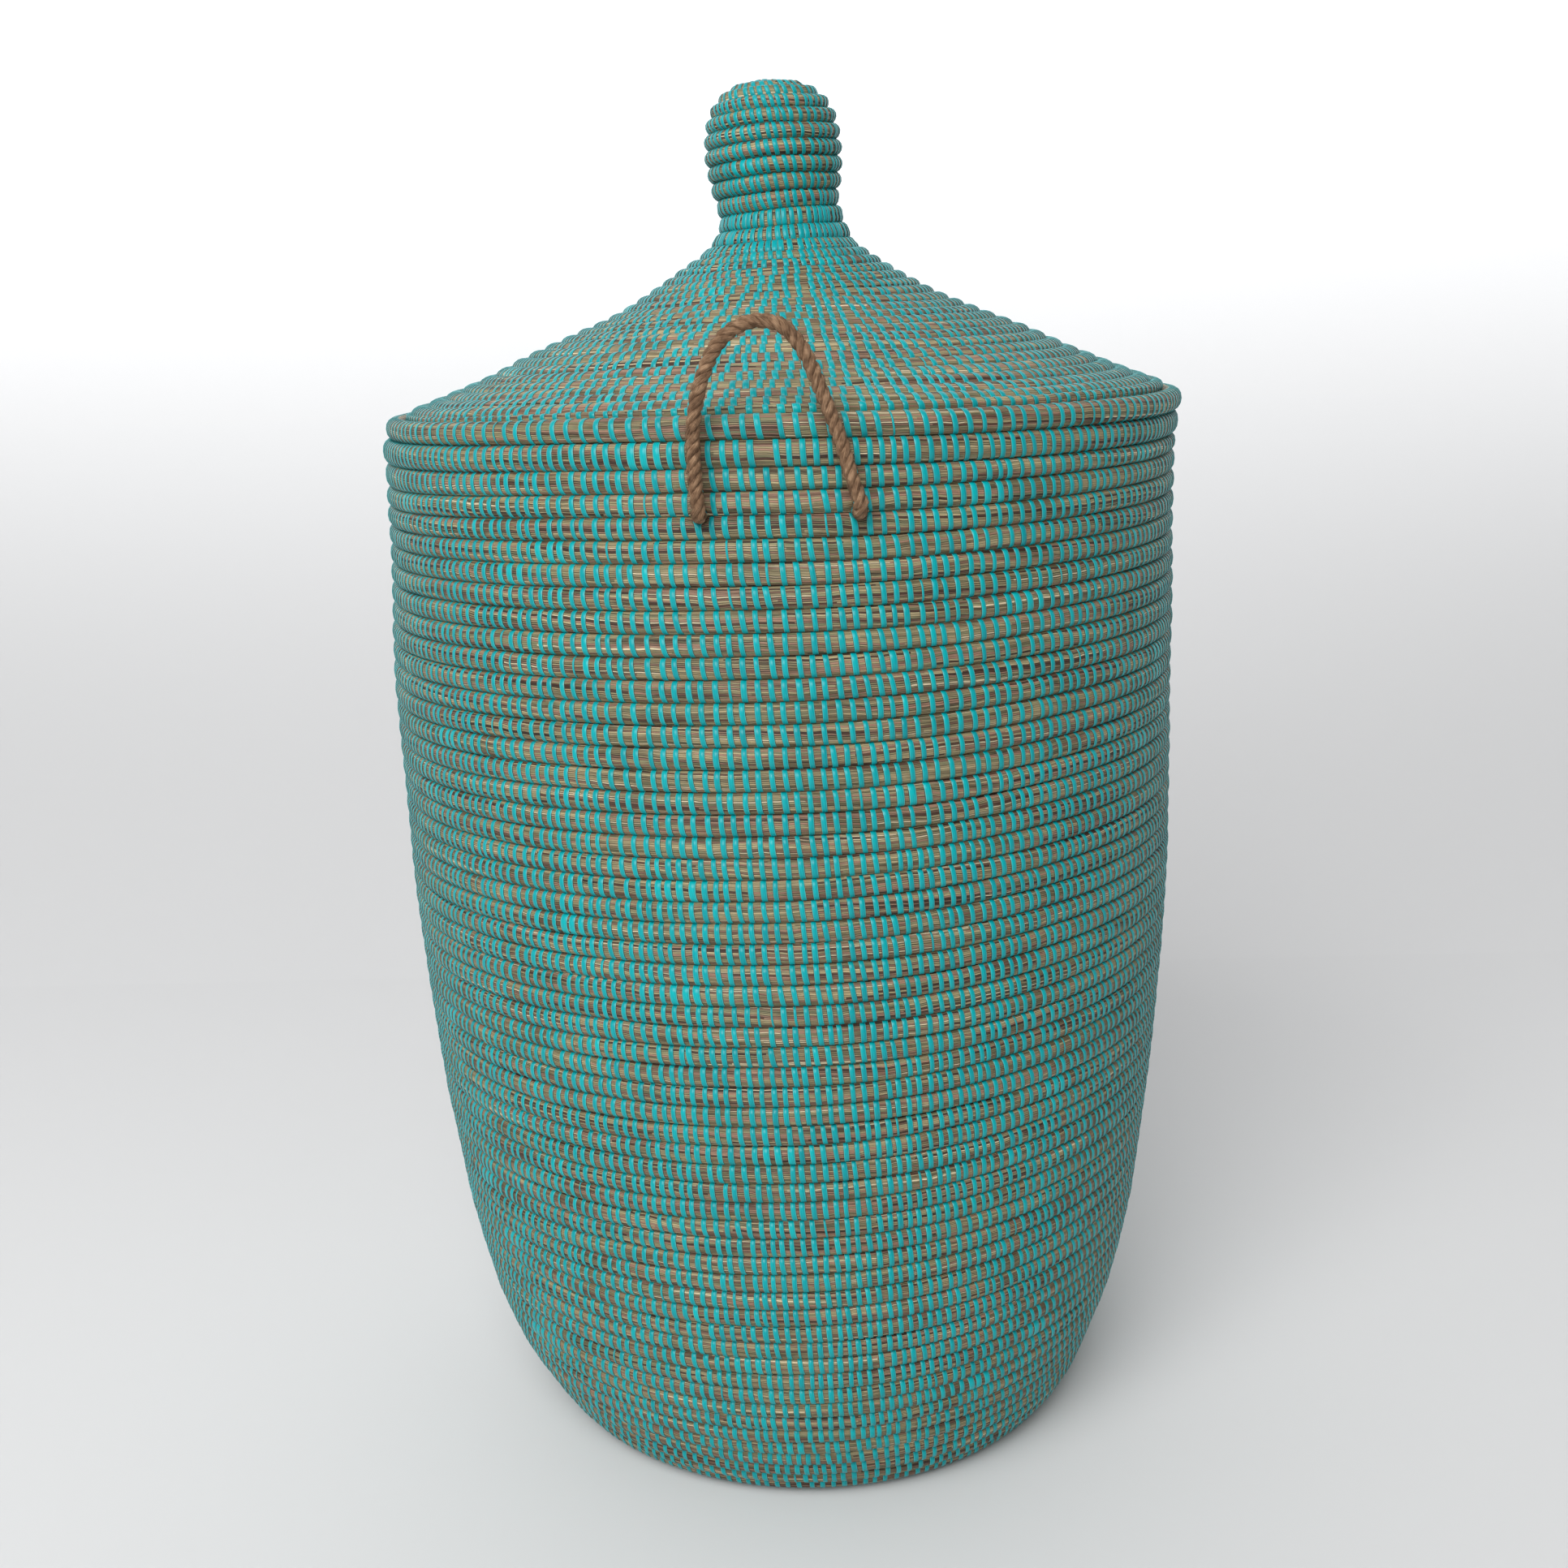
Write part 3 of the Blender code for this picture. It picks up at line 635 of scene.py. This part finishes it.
# Turn numbers along a course: even steps, closer together where the rope goes through
def courseSteps(course, first, last, step, nearHoles):
    table = fineTurns(first, last)
    lengths = addUp(np.diff(table) * fullTurn * courseRadius(course, (table[1:] + table[:-1]) / 2.0))
    count = max(int(math.ceil(lengths[-1] / step)), 12)
    steps = np.interp(np.linspace(0.0, lengths[-1], count + 1), lengths, table)
    if not nearHoles:
        return steps
    fine = np.linspace(-ropeHoles["fineTurn"], ropeHoles["fineTurn"], ropeHoles["fineSteps"])
    extra = []
    span = math.asin(ropeHoles["across"] / ropeHoles["wall"]) / fullTurn
    for whole in range(int(first) - 1, int(last) + 2):
        for place in (whole - span, whole + span, whole + 0.5 - span, whole + 0.5 + span):
            lower = float(course["lower"](np.array([place]))[0])
            level = np.interp(lower, course["line"]["along"], course["line"]["height"])
            if abs(level + bodyShape["pitch"] / 2.0 - ropeHoles["height"]) < ropeHoles["closeUp"]:
                extra.extend(place + fine)
    extra = [value for value in extra if first < value < last]
    return np.unique(np.concatenate([steps, extra]))


# The bundle's own section, drawn once and carried along every course
def drawSection(sides):
    deselectAll()
    bpy.ops.mesh.primitive_circle_add(vertices=sides, radius=1.0, location=(0.0, 0.0, 0.0))
    circle = bpy.context.object
    angles = np.array([math.atan2(vertex.co.y, vertex.co.x) for vertex in circle.data.vertices])
    bpy.data.objects.remove(circle, do_unlink=True)
    return np.sort(np.mod(angles, fullTurn))


sectionAngles = drawSection(16)
grassBundle = {"step": 0.0118, "twist": 0.02}


def layGrass(name, course, first, last, step, nearHoles=False):
    closed = course.get("closed", False)
    steps = courseSteps(course, first, last, step, nearHoles)
    sides = len(sectionAngles)
    radius = courseRadius(course, steps)
    lengths = addUp(np.diff(steps) * fullTurn * (radius[1:] + radius[:-1]) / 2.0)
    lengths = lengths + course["seed"] * 7.3 + first * 1.37  # every band has its own straws
    if closed:
        steps = steps[:-1]
    thick = float(np.interp(0.5 * course["line"]["length"], *zip(*course["thick"])))
    girth = fullTurn * math.sqrt((thick**2 + (course["pitch"] / 2.0) ** 2) / 2.0)
    twist = grassBundle["twist"] * lengths + waves(lengths / 1.3, 0.002, course["seed"] + 50)
    points = coursePoint(course, steps[:, None], sectionAngles, 0.0).reshape(-1, 3)
    faces, row, side = gridFaces(len(steps), sides, closed, True)
    near = lengths[row]
    far = lengths[row + 1]
    twistNear = twist[row]
    twistFar = twist[row + 1]
    low = np.mod(side + sides // 2, sides) / sides * girth  # the map's seam lies inside the basket
    high = low + girth / sides
    corners = mapCorners([near, far, far, near],
                         [low + twistNear, low + twistFar, high + twistFar, high + twistNear])
    caps = () if closed else (range(sides), range(len(points) - sides, len(points))[::-1])
    return buildPiece(name, points, faces, corners, None, caps)


# Places of the strips along a course. Each goes over the strip below it, so they stand in columns;
# where the columns part a strip is added, and where they close up one is left out.
def spaceStrips(course, first, last, spacing, settings):
    random = np.random.default_rng(settings["seed"])
    table = fineTurns(first, last)
    spacingTable = np.interp((course["lower"](table) + course["upper"](table)) / 2.0, *zip(*spacing))
    stepTable = spacingTable / (fullTurn * courseRadius(course, table))
    places = [first + 1e-4]
    below = 0
    while places[-1] < last:
        here = places[-1]
        step = float(np.interp(here, table, stepTable))
        wanted = here + step
        if places[-1] - 0.5 > places[0] and below < len(places):
            column = places[below] + 1.0 + settings["lean"] * step
            gap = (column - here) / step * random.normal(1.0, 0.06)
            if gap < settings["close"]:
                below += 1
                continue
            if gap < settings["part"]:
                wanted = column + settings["relax"] * (wanted - column)
                below += 1
        places.append(max(wanted + random.normal(0.0, settings["jitter"]) * step, here + 0.45 * step))
    return np.array(places[:-1])


# One strip, drawn flat: across from -0.5 to 0.5, round the course from 0 to 1, and up
stripShape = {
    "width": 0.0032, "crown": 0.00032, "lift": 0.00024, "sunk": -0.0002, "shoulder": 0.40, "dip": 0.0004,
    "lean": 0.00078, "curve": 0.0003, "outerSteps": 8, "innerSteps": 3, "innerLift": 0.0007,
    "bunched": 0.005, "bunchedWidth": 1.3, "bunchedTone": 0.9, "narrow": 0.02, "narrowWidth": (0.35, 0.6),
    "widthSpread": 0.07, "leanSpread": 0.22, "curveSpread": 0.4, "toneSpread": 0.16,
}


def drawStrip(shape):
    rows = shape["outerSteps"] + shape["innerSteps"]
    deselectAll()
    bpy.ops.mesh.primitive_grid_add(x_subdivisions=4, y_subdivisions=rows, size=1.0)
    flat = bpy.context.object
    xs = sorted({round(vertex.co.x, 5) for vertex in flat.data.vertices})
    bpy.data.objects.remove(flat, do_unlink=True)
    across = np.array([xs[0], -shape["shoulder"], xs[2], shape["shoulder"], xs[-1]])
    lift = np.array([shape["sunk"], shape["lift"], shape["crown"], shape["lift"], shape["sunk"]])
    outer = np.linspace(90.0, -90.0, shape["outerSteps"] + 1)
    inner = np.linspace(-90.0, -270.0, shape["innerSteps"] + 1)
    around = np.radians(np.concatenate([outer, inner[1:-1]]))
    mark = np.linspace(0.0, 2.0, len(around), endpoint=False)
    return across, lift, around, mark


stripAcross, stripLift, stripAround, stripMark = drawStrip(stripShape)


def sewStrips(name, course, places, seed, widths=1.0, leans=1.0, dips=1.0):
    random = np.random.default_rng(seed)
    count = len(places)
    rows = len(stripAround)
    wide = len(stripAcross)
    width = stripShape["width"] * widths * random.normal(1.0, stripShape["widthSpread"], count)
    lean = stripShape["lean"] * (leans + waves(places, 0.5, seed + 3))
    lean = lean * random.normal(1.0, stripShape["leanSpread"], count)
    curve = stripShape["curve"] * random.normal(1.0, stripShape["curveSpread"], count)
    tone = np.clip(random.normal(0.5, stripShape["toneSpread"], count), 0.0, 1.0)
    bunched = random.random(count) < stripShape["bunched"]
    bunched = bunched | np.roll(bunched, 1) | np.roll(bunched, 2)  # three side by side
    width = np.where(bunched, width * stripShape["bunchedWidth"], width)
    tone = np.where(bunched, stripShape["bunchedTone"], tone)
    narrow = random.random(count) < stripShape["narrow"]
    width = np.where(narrow, width * random.uniform(*stripShape["narrowWidth"], count), width)
    sine = np.sin(stripAround)
    skew = lean[:, None] * -sine + curve[:, None] * sine**2
    sideways = stripAcross * width[:, None, None] + skew[:, :, None]
    turn = places[:, None, None] + sideways / (fullTurn * courseRadius(course, places))[:, None, None]
    raised = np.where(np.cos(stripAround) < -0.1, stripShape["innerLift"], 0.0)
    dip = stripShape["dip"] * dips * sine**6 - raised
    lift = stripLift - dip[:, None]
    points = coursePoint(course, turn, stripAround[:, None], lift).reshape(-1, 3)
    single, row, column = gridFaces(rows, wide, True, False)
    faces = (single[None] + (np.arange(count) * rows * wide)[:, None, None]).reshape(-1, 4)
    left = stripAcross[column] + 0.5
    right = stripAcross[column + 1] + 0.5
    near = stripMark[row]
    far = near + stripMark[1]
    corners = np.tile(mapCorners([left, left, right, right], [near, far, far, near]), (count, 1))
    return buildPiece(name, points, faces, corners, np.repeat(tone, rows * wide))


# Body: grass in bands of courses, then its strips in the same bands
bodyBands = [
    (-0.35, 14.5, "base"), (14.5, 22.5, "foot"), (22.5, 30.5, "low"), (30.5, 38.5, "waist"),
    (38.5, 47.5, "middle"), (47.5, 57.3, "high"), (57.3, 67.604, "top"),
]
bodySpacing = [(0.0, 0.0066), (0.15, 0.0060), (0.24, 0.0054), (0.42, 0.0055), (0.52, 0.0059), (0.58, 0.0063),
               (0.66, 0.0066)]
bodySewing = {"lean": 0.0, "relax": 0.42, "jitter": 0.065, "close": 0.72, "part": 1.38, "seed": 21}
bodyPlaces = spaceStrips(bodyCourses, -0.2, 67.59, bodySpacing, bodySewing)
for first, last, label in bodyBands:
    node = "base_coil" if label == "base" else "wall_coil"
    coil = layGrass("body_grass_" + label, bodyCourses, first, last, grassBundle["step"], label == "top")
    finishPiece(coil, grass, "basket", node)
    inBand = bodyPlaces[(bodyPlaces >= first) & (bodyPlaces < last)]
    pieces = sewStrips("body_strips_" + label, bodyCourses, inBand, 31 + int(last))
    finishPiece(pieces, strip, "basket", node)
    print("stage: body", label, len(inBand), "strips")


# A level course: its grass, then its strips, in even spaces up to where the ring closes
def makeLevelCourse(names, course, step, space, closing, seed, leans, body, node):
    coil = layGrass(names.format("grass"), course, 0.0, 1.0, step)
    finishPiece(coil, grass, body, node)
    sewing = {**bodySewing, "seed": seed}
    places = spaceStrips(course, 0.0, closing, [(0.0, space)], sewing)
    pieces = sewStrips(names.format("strips"), course, places, seed + 1, leans=leans, dips=0.0)
    finishPiece(pieces, strip, body, node)
    print("stage:", names.format("course"), len(places), "strips")


makeLevelCourse("rim_{}", rimCourses, 0.008, 0.0062, 0.9955, 41, 1.0, "basket", "rim_course")

# Lid: rim roll, then one coil up the cone, round the neck and over the knob, then the ring below
makeLevelCourse("lid_roll_{}", rollCourses, 0.008, 0.0076, 0.995, 51, 1.35, "lid", "lid_rim_roll")

lidEnd = lidCourses["last"] - 0.3
knobFrom = lidCourses["first"] + float(np.interp(0.205, lidFine, lidCounts))
lidBands = [
    (-0.45, 12.5, "low", 0.0105, 1.06, 0.25), (12.5, knobFrom, "high", 0.008, 1.06, 0.25),
    (knobFrom, lidEnd, "knob", 0.0042, 0.92, 1.5),
]
lidSpacing = [(0.0, 0.0070), (0.06, 0.0067), (0.15, 0.0064), (0.175, 0.0052), (0.19, 0.0044), (0.205, 0.0044),
              (0.23, 0.0047)]
lidSewing = {"lean": 0.10, "relax": 0.25, "jitter": 0.09, "close": 0.70, "part": 1.45, "seed": 53}
lidPlaces = spaceStrips(lidCourses, -0.4, lidEnd - 0.02, lidSpacing, lidSewing)
for first, last, label, step, widths, leans in lidBands:
    node = "lid_knob_coil" if label == "knob" else "lid_cone_coil"
    coil = layGrass("lid_grass_" + label, lidCourses, first, last, step)
    finishPiece(coil, lidGrassPaintedLighter, "lid", node)
    inBand = lidPlaces[(lidPlaces >= first) & (lidPlaces < last)]
    pieces = sewStrips("lid_strips_" + label, lidCourses, inBand, 61 + int(last), widths, leans, 0.3)
    finishPiece(pieces, strip, "lid", node)
    print("stage: lid", label, len(inBand), "strips")

for label, course, seed in (("high", ringHigh, 75), ("low", ringLow, 74)):
    makeLevelCourse("ring_{}_" + label, course, 0.009, 0.0085, 0.995, seed, 1.0,
                    "lid", "lid_locating_ring")

# Rope handles: the route of the part's source, then in through the wall to a knot
handleRoute = [
    (-0.037, 0.0), (-0.0376, 0.014), (-0.038, 0.028), (-0.0378, 0.04), (-0.0362, 0.05),
    (-0.0335, 0.0605), (-0.029, 0.0712), (-0.023, 0.0795), (-0.0145, 0.085), (-0.006, 0.0865),
    (0.003, 0.0843), (0.0096, 0.078), (0.015, 0.069), (0.0189, 0.0592), (0.0222, 0.0508),
    (0.0258, 0.041), (0.0297, 0.03), (0.0334, 0.0165), (0.037, 0.0),
]
rope = {
    "diameter": 0.007, "strandRadius": 0.00186, "strandOffset": 0.00172, "lay": 0.0155, "sides": 9,
    "step": 0.0013, "hairs": 420, "hairLength": 0.0032, "hairWidth": 0.00006, "hairReach": 0.0052,
    "hingeY": 0.2300, "hingeZ": 0.563, "knotY": 0.2030, "knotSize": (0.00172, 0.0027, 0.00172),
    "knotRadius": 0.0031, "tailLength": (0.007, 0.011), "drift": 0.03, "swell": 0.05, "lumps": 0.04,
    "wayIn": [(0.2075, 0.0), (0.214, 0.0), (0.2205, 0.0), (0.2253, 0.0004), (0.2286, 0.0028),
              (0.2298, 0.0068)],
    "tails": 26, "tailRadii": (0.0006, 0.0006, 0.0005, 0.0003), "tailFrom": 0.004, "tailSpread": 0.0013,
}


def lengthsAlong(line):
    return addUp(np.linalg.norm(np.diff(line, axis=0), axis=1))


# A smooth line through the points, in even steps, and its length
def smoothLine(points, step):
    knots = np.array(points, float)
    padded = np.vstack([2 * knots[0] - knots[1], knots, 2 * knots[-1] - knots[-2]])
    curve = []
    for index in range(1, len(padded) - 2):
        before, first, second, after = padded[index - 1 : index + 3]
        for share in np.linspace(0.0, 1.0, 16, endpoint=False):
            straight = (second - before) * share
            square = (2 * before - 5 * first + 4 * second - after) * share**2
            cube = (3 * first - before - 3 * second + after) * share**3
            curve.append(0.5 * (2 * first + straight + square + cube))
    curve.append(knots[-1])
    curve = np.array(curve)
    lengths = lengthsAlong(curve)
    even = np.linspace(0.0, lengths[-1], int(round(lengths[-1] / step)) + 1)
    return np.stack([np.interp(even, lengths, curve[:, axis]) for axis in range(3)], -1), lengths[-1]


# Directions that turn with the line and never spin about it
def lineFrames(line):
    ahead = np.gradient(line, axis=0)
    ahead /= np.linalg.norm(ahead, axis=1)[:, None]
    across = np.cross(ahead[0], (0.0, 0.0, 1.0) if abs(ahead[0][2]) < 0.9 else (1.0, 0.0, 0.0))
    sides = []
    for direction in ahead:
        across = across - direction * np.dot(across, direction)
        across = across / np.linalg.norm(across)
        sides.append(across)
    sides = np.array(sides)
    return ahead, sides, np.cross(ahead, sides)


def sweepTube(line, radius, sides):
    across, over = lineFrames(line)[1:]
    steps = lengthsAlong(line)
    angles = np.arange(sides) / sides * fullTurn
    radius = np.broadcast_to(radius, (len(line),))
    cosine = np.cos(angles)[:, None]
    sine = np.sin(angles)[:, None]
    outward = cosine * across[:, None] + sine * over[:, None]
    points = (line[:, None] + radius[:, None, None] * outward).reshape(-1, 3)
    faces, row, side = gridFaces(len(line), sides, False, True)
    girth = fullTurn * float(np.mean(radius))
    low = side / sides * girth
    high = (side + 1) / sides * girth
    corners = mapCorners([steps[row], steps[row + 1], steps[row + 1], steps[row]], [high, high, low, low])
    caps = [range(sides)[::-1], range(len(points) - sides, len(points))]
    return points, faces[:, ::-1], corners, caps


def joinTubes(name, tubes):
    points, faces, corners, caps = [], [], [], []
    start = 0
    for tubePoints, tubeFaces, tubeCorners, tubeCaps in tubes:
        points.append(tubePoints)
        faces.append(tubeFaces + start)
        corners.append(tubeCorners)
        caps.extend([np.array(cap) + start for cap in tubeCaps])
        start += len(tubePoints)
    return buildPiece(name, np.vstack(points), np.vstack(faces), np.vstack(corners), None, caps)


# Three twisted strands, and fine hairs that stand off them
def layStrands(line, seed):
    random = np.random.default_rng(seed)
    ahead, across, over = lineFrames(line)
    steps = lengthsAlong(line)
    tubes = []
    for strand in range(3):
        drift = rope["drift"] * np.sin(steps * 140.0)
        angle = fullTurn * (strand / 3.0 + steps / rope["lay"] + drift)
        outward = np.cos(angle)[:, None] * across + np.sin(angle)[:, None] * over
        uneven = rope["swell"] * np.sin(steps * 900.0 + strand)
        uneven = uneven + rope["lumps"] * random.normal(0.0, 1.0, len(steps))
        centre = line + rope["strandOffset"] * outward
        tubes.append(sweepTube(centre, rope["strandRadius"] * (1.0 + uneven), rope["sides"]))
    for _ in range(rope["hairs"]):
        index = random.integers(3, len(line) - 4)
        angle = random.uniform(0.0, fullTurn)
        outward = math.cos(angle) * across[index] + math.sin(angle) * over[index]
        sideways = np.cross(ahead[index], outward)
        start = line[index] + outward * rope["diameter"] * 0.46
        length = rope["hairLength"] * random.uniform(0.5, 1.5)
        heading = ahead[index] * random.choice((-1.0, 1.0))
        heading = heading + outward * random.uniform(0.15, 0.6) + sideways * random.normal(0.0, 0.5)
        heading = heading / np.linalg.norm(heading)
        bend = -outward * random.uniform(0.0, 0.35) + sideways * random.normal(0.0, 0.3)
        shares = np.array([0.0, 0.35, 0.7, 1.0])[:, None]
        hair = start + heading * length * shares + bend * length * shares**2
        offCentre = hair - line[index]
        offCentre -= np.outer(offCentre @ ahead[index], ahead[index])
        far = np.linalg.norm(offCentre, axis=1)
        hair -= offCentre * (np.maximum(far - rope["hairReach"], 0.0) / far)[:, None]
        tubes.append(sweepTube(hair, rope["hairWidth"], 3))
    return tubes


# An overhand knot and its frayed tail, inside the wall
def tieKnot(name, centre, side, seed):
    random = np.random.default_rng(seed)
    angles = np.linspace(0.0, fullTurn, 72)
    trefoil = np.stack([
        np.sin(angles) + 2.0 * np.sin(2.0 * angles), -np.sin(3.0 * angles),
        np.cos(angles) - 2.0 * np.cos(2.0 * angles),
    ], -1)
    tubes = [sweepTube(np.array(centre) + trefoil * np.array(rope["knotSize"]), rope["knotRadius"], 9)]
    tail = np.array(centre) - np.array([0.0, side, 0.0]) * rope["tailFrom"]
    for _ in range(rope["tails"]):
        spread = random.normal(0.0, 0.22, 3)
        heading = np.array([spread[0], -side, spread[2] - 0.1])
        heading /= np.linalg.norm(heading)
        aside, above = random.normal(0.0, rope["tailSpread"], 2)
        start = tail + np.array([aside, 0.0, above])
        length = random.uniform(*rope["tailLength"])
        droop = np.array([0.0, 0.0, -0.15 * length])
        shares = np.array([0.0, 0.4, 0.75, 1.0])[:, None]
        fibre = start + heading * length * shares + droop * shares**2
        tubes.append(sweepTube(fibre, np.array(rope["tailRadii"]), 4))
    return joinTubes(name, tubes)


def addHandle(place, side, seed):
    left = -side * handleRoute[0][0]
    right = -side * handleRoute[-1][0]
    hingeY = side * rope["hingeY"]
    hingeZ = rope["hingeZ"]
    loop = [(-side * across, hingeY, hingeZ + above) for across, above in handleRoute[1:-1]]

    def wayIn(x):
        return [(x, side * y, hingeZ + above) for y, above in rope["wayIn"]]

    line, length = smoothLine(wayIn(left) + loop + wayIn(right)[::-1], rope["step"])
    handle = joinTubes(place + "_rope", layStrands(line, seed))
    handle.data.materials.append(jute)
    for hand, x in (("left", min(left, right)), ("right", max(left, right))):
        label = place + "_" + hand
        knot = tieKnot(label + "_knot", (x, side * rope["knotY"], hingeZ), side, seed + len(hand))
        finishPiece(knot, jute, "basket", label + "_rope_end")
    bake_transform(handle)
    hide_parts(place + "_handle_rope")
    print("stage:", place, "rope", round(length, 4), "m")


addHandle("front", -1.0, 81)
addHandle("rear", 1.0, 91)

# Plain pale floor and soft studio light
studio = {
    "floor": fromScreen(219, 219, 219), "floorSize": 40.0, "floorGloss": 0.1,
    "world": fromScreen(252, 253, 255), "worldLevel": 0.35, "worldTilt": 0.48,
    "sweepFrom": 0.7, "sweepRadius": 1.5, "sweepTop": 5.0, "sweepWidth": 50.0, "backdropGlow": 0.55,
    "keyPower": 118.0, "keySize": 2.2, "keyPlace": (-0.78, -2.5, 2.55), "keyAim": (0.0, 0.0, 0.4),
}


def addFloor(settings):
    deselectAll()
    bpy.ops.mesh.primitive_plane_add(size=settings["floorSize"], location=(0.0, 0.0, 0.0))
    floor = bpy.context.object
    floor.name = "floor"
    material, _, shader = newMaterial("paleFloor")
    shader.inputs["Base Color"].default_value = (*settings["floor"], 1.0)
    shader.inputs["Roughness"].default_value = 0.8
    shader.inputs["Specular IOR Level"].default_value = settings["floorGloss"]
    floor.data.materials.append(material)


# A sweep behind the basket: four fifths are a quarter circle, the rest goes straight up
def addBackdrop(settings):
    deselectAll()
    bpy.ops.mesh.primitive_grid_add(x_subdivisions=1, y_subdivisions=40, size=1.0)
    backdrop = bpy.context.object
    backdrop.name = "backdrop"
    radius = settings["sweepRadius"]
    for vertex in backdrop.data.vertices:
        share = vertex.co.y + 0.5
        angle = min(share / 0.8, 1.0) * math.pi / 2.0
        above = max(share - 0.8, 0.0) / 0.2 * (settings["sweepTop"] - radius)
        vertex.co = (vertex.co.x * settings["sweepWidth"], settings["sweepFrom"] + radius * math.sin(angle),
                     radius * (1.0 - math.cos(angle)) + above)
    backdrop.data.shade_smooth()
    material, tree, shader = newMaterial("paleBackdrop")
    shader.inputs["Base Color"].default_value = (*settings["floor"], 1.0)
    shader.inputs["Roughness"].default_value = 0.9
    shader.inputs["Emission Color"].default_value = (*settings["world"], 1.0)
    place = addNode(tree, "ShaderNodeTexCoord", {}, {}).outputs["Object"]
    height = addNode(tree, "ShaderNodeSeparateXYZ", {}, {0: place}).outputs[2]
    glowing = addRamp(tree, height, [(0.0, grey(0.0)), (1.0, grey(1.0))], "EASE")
    glow = addMath(tree, "MULTIPLY", glowing, settings["backdropGlow"])
    tree.links.new(glow, shader.inputs["Emission Strength"])
    backdrop.data.materials.append(material)


# The world is a little stronger on the left, where the key light stands
def addLight(settings):
    world = bpy.data.worlds.new("studioWorld")
    world.use_nodes = True
    tree = world.node_tree
    background = tree.nodes["Background"]
    background.inputs["Color"].default_value = (*settings["world"], 1.0)
    direction = addNode(tree, "ShaderNodeTexCoord", {}, {}).outputs["Generated"]
    sideways = addNode(tree, "ShaderNodeSeparateXYZ", {}, {0: direction}).outputs[0]
    level = settings["worldLevel"]
    strength = addMath(tree, "MULTIPLY_ADD", sideways, -settings["worldTilt"] * level, level)
    tree.links.new(strength, background.inputs["Strength"])
    bpy.context.scene.world = world
    bpy.context.scene.view_settings.view_transform = "Standard"
    data = bpy.data.lights.new("keyLight", "AREA")
    data.energy = settings["keyPower"]
    data.size = settings["keySize"]
    light = bpy.data.objects.new("keyLight", data)
    light.location = settings["keyPlace"]
    aim = Vector(settings["keyAim"]) - Vector(settings["keyPlace"])
    light.rotation_euler = aim.to_track_quat("-Z", "Y").to_euler()
    bpy.context.scene.collection.objects.link(light)


addFloor(studio)
addBackdrop(studio)
addLight(studio)
print("stage: studio")
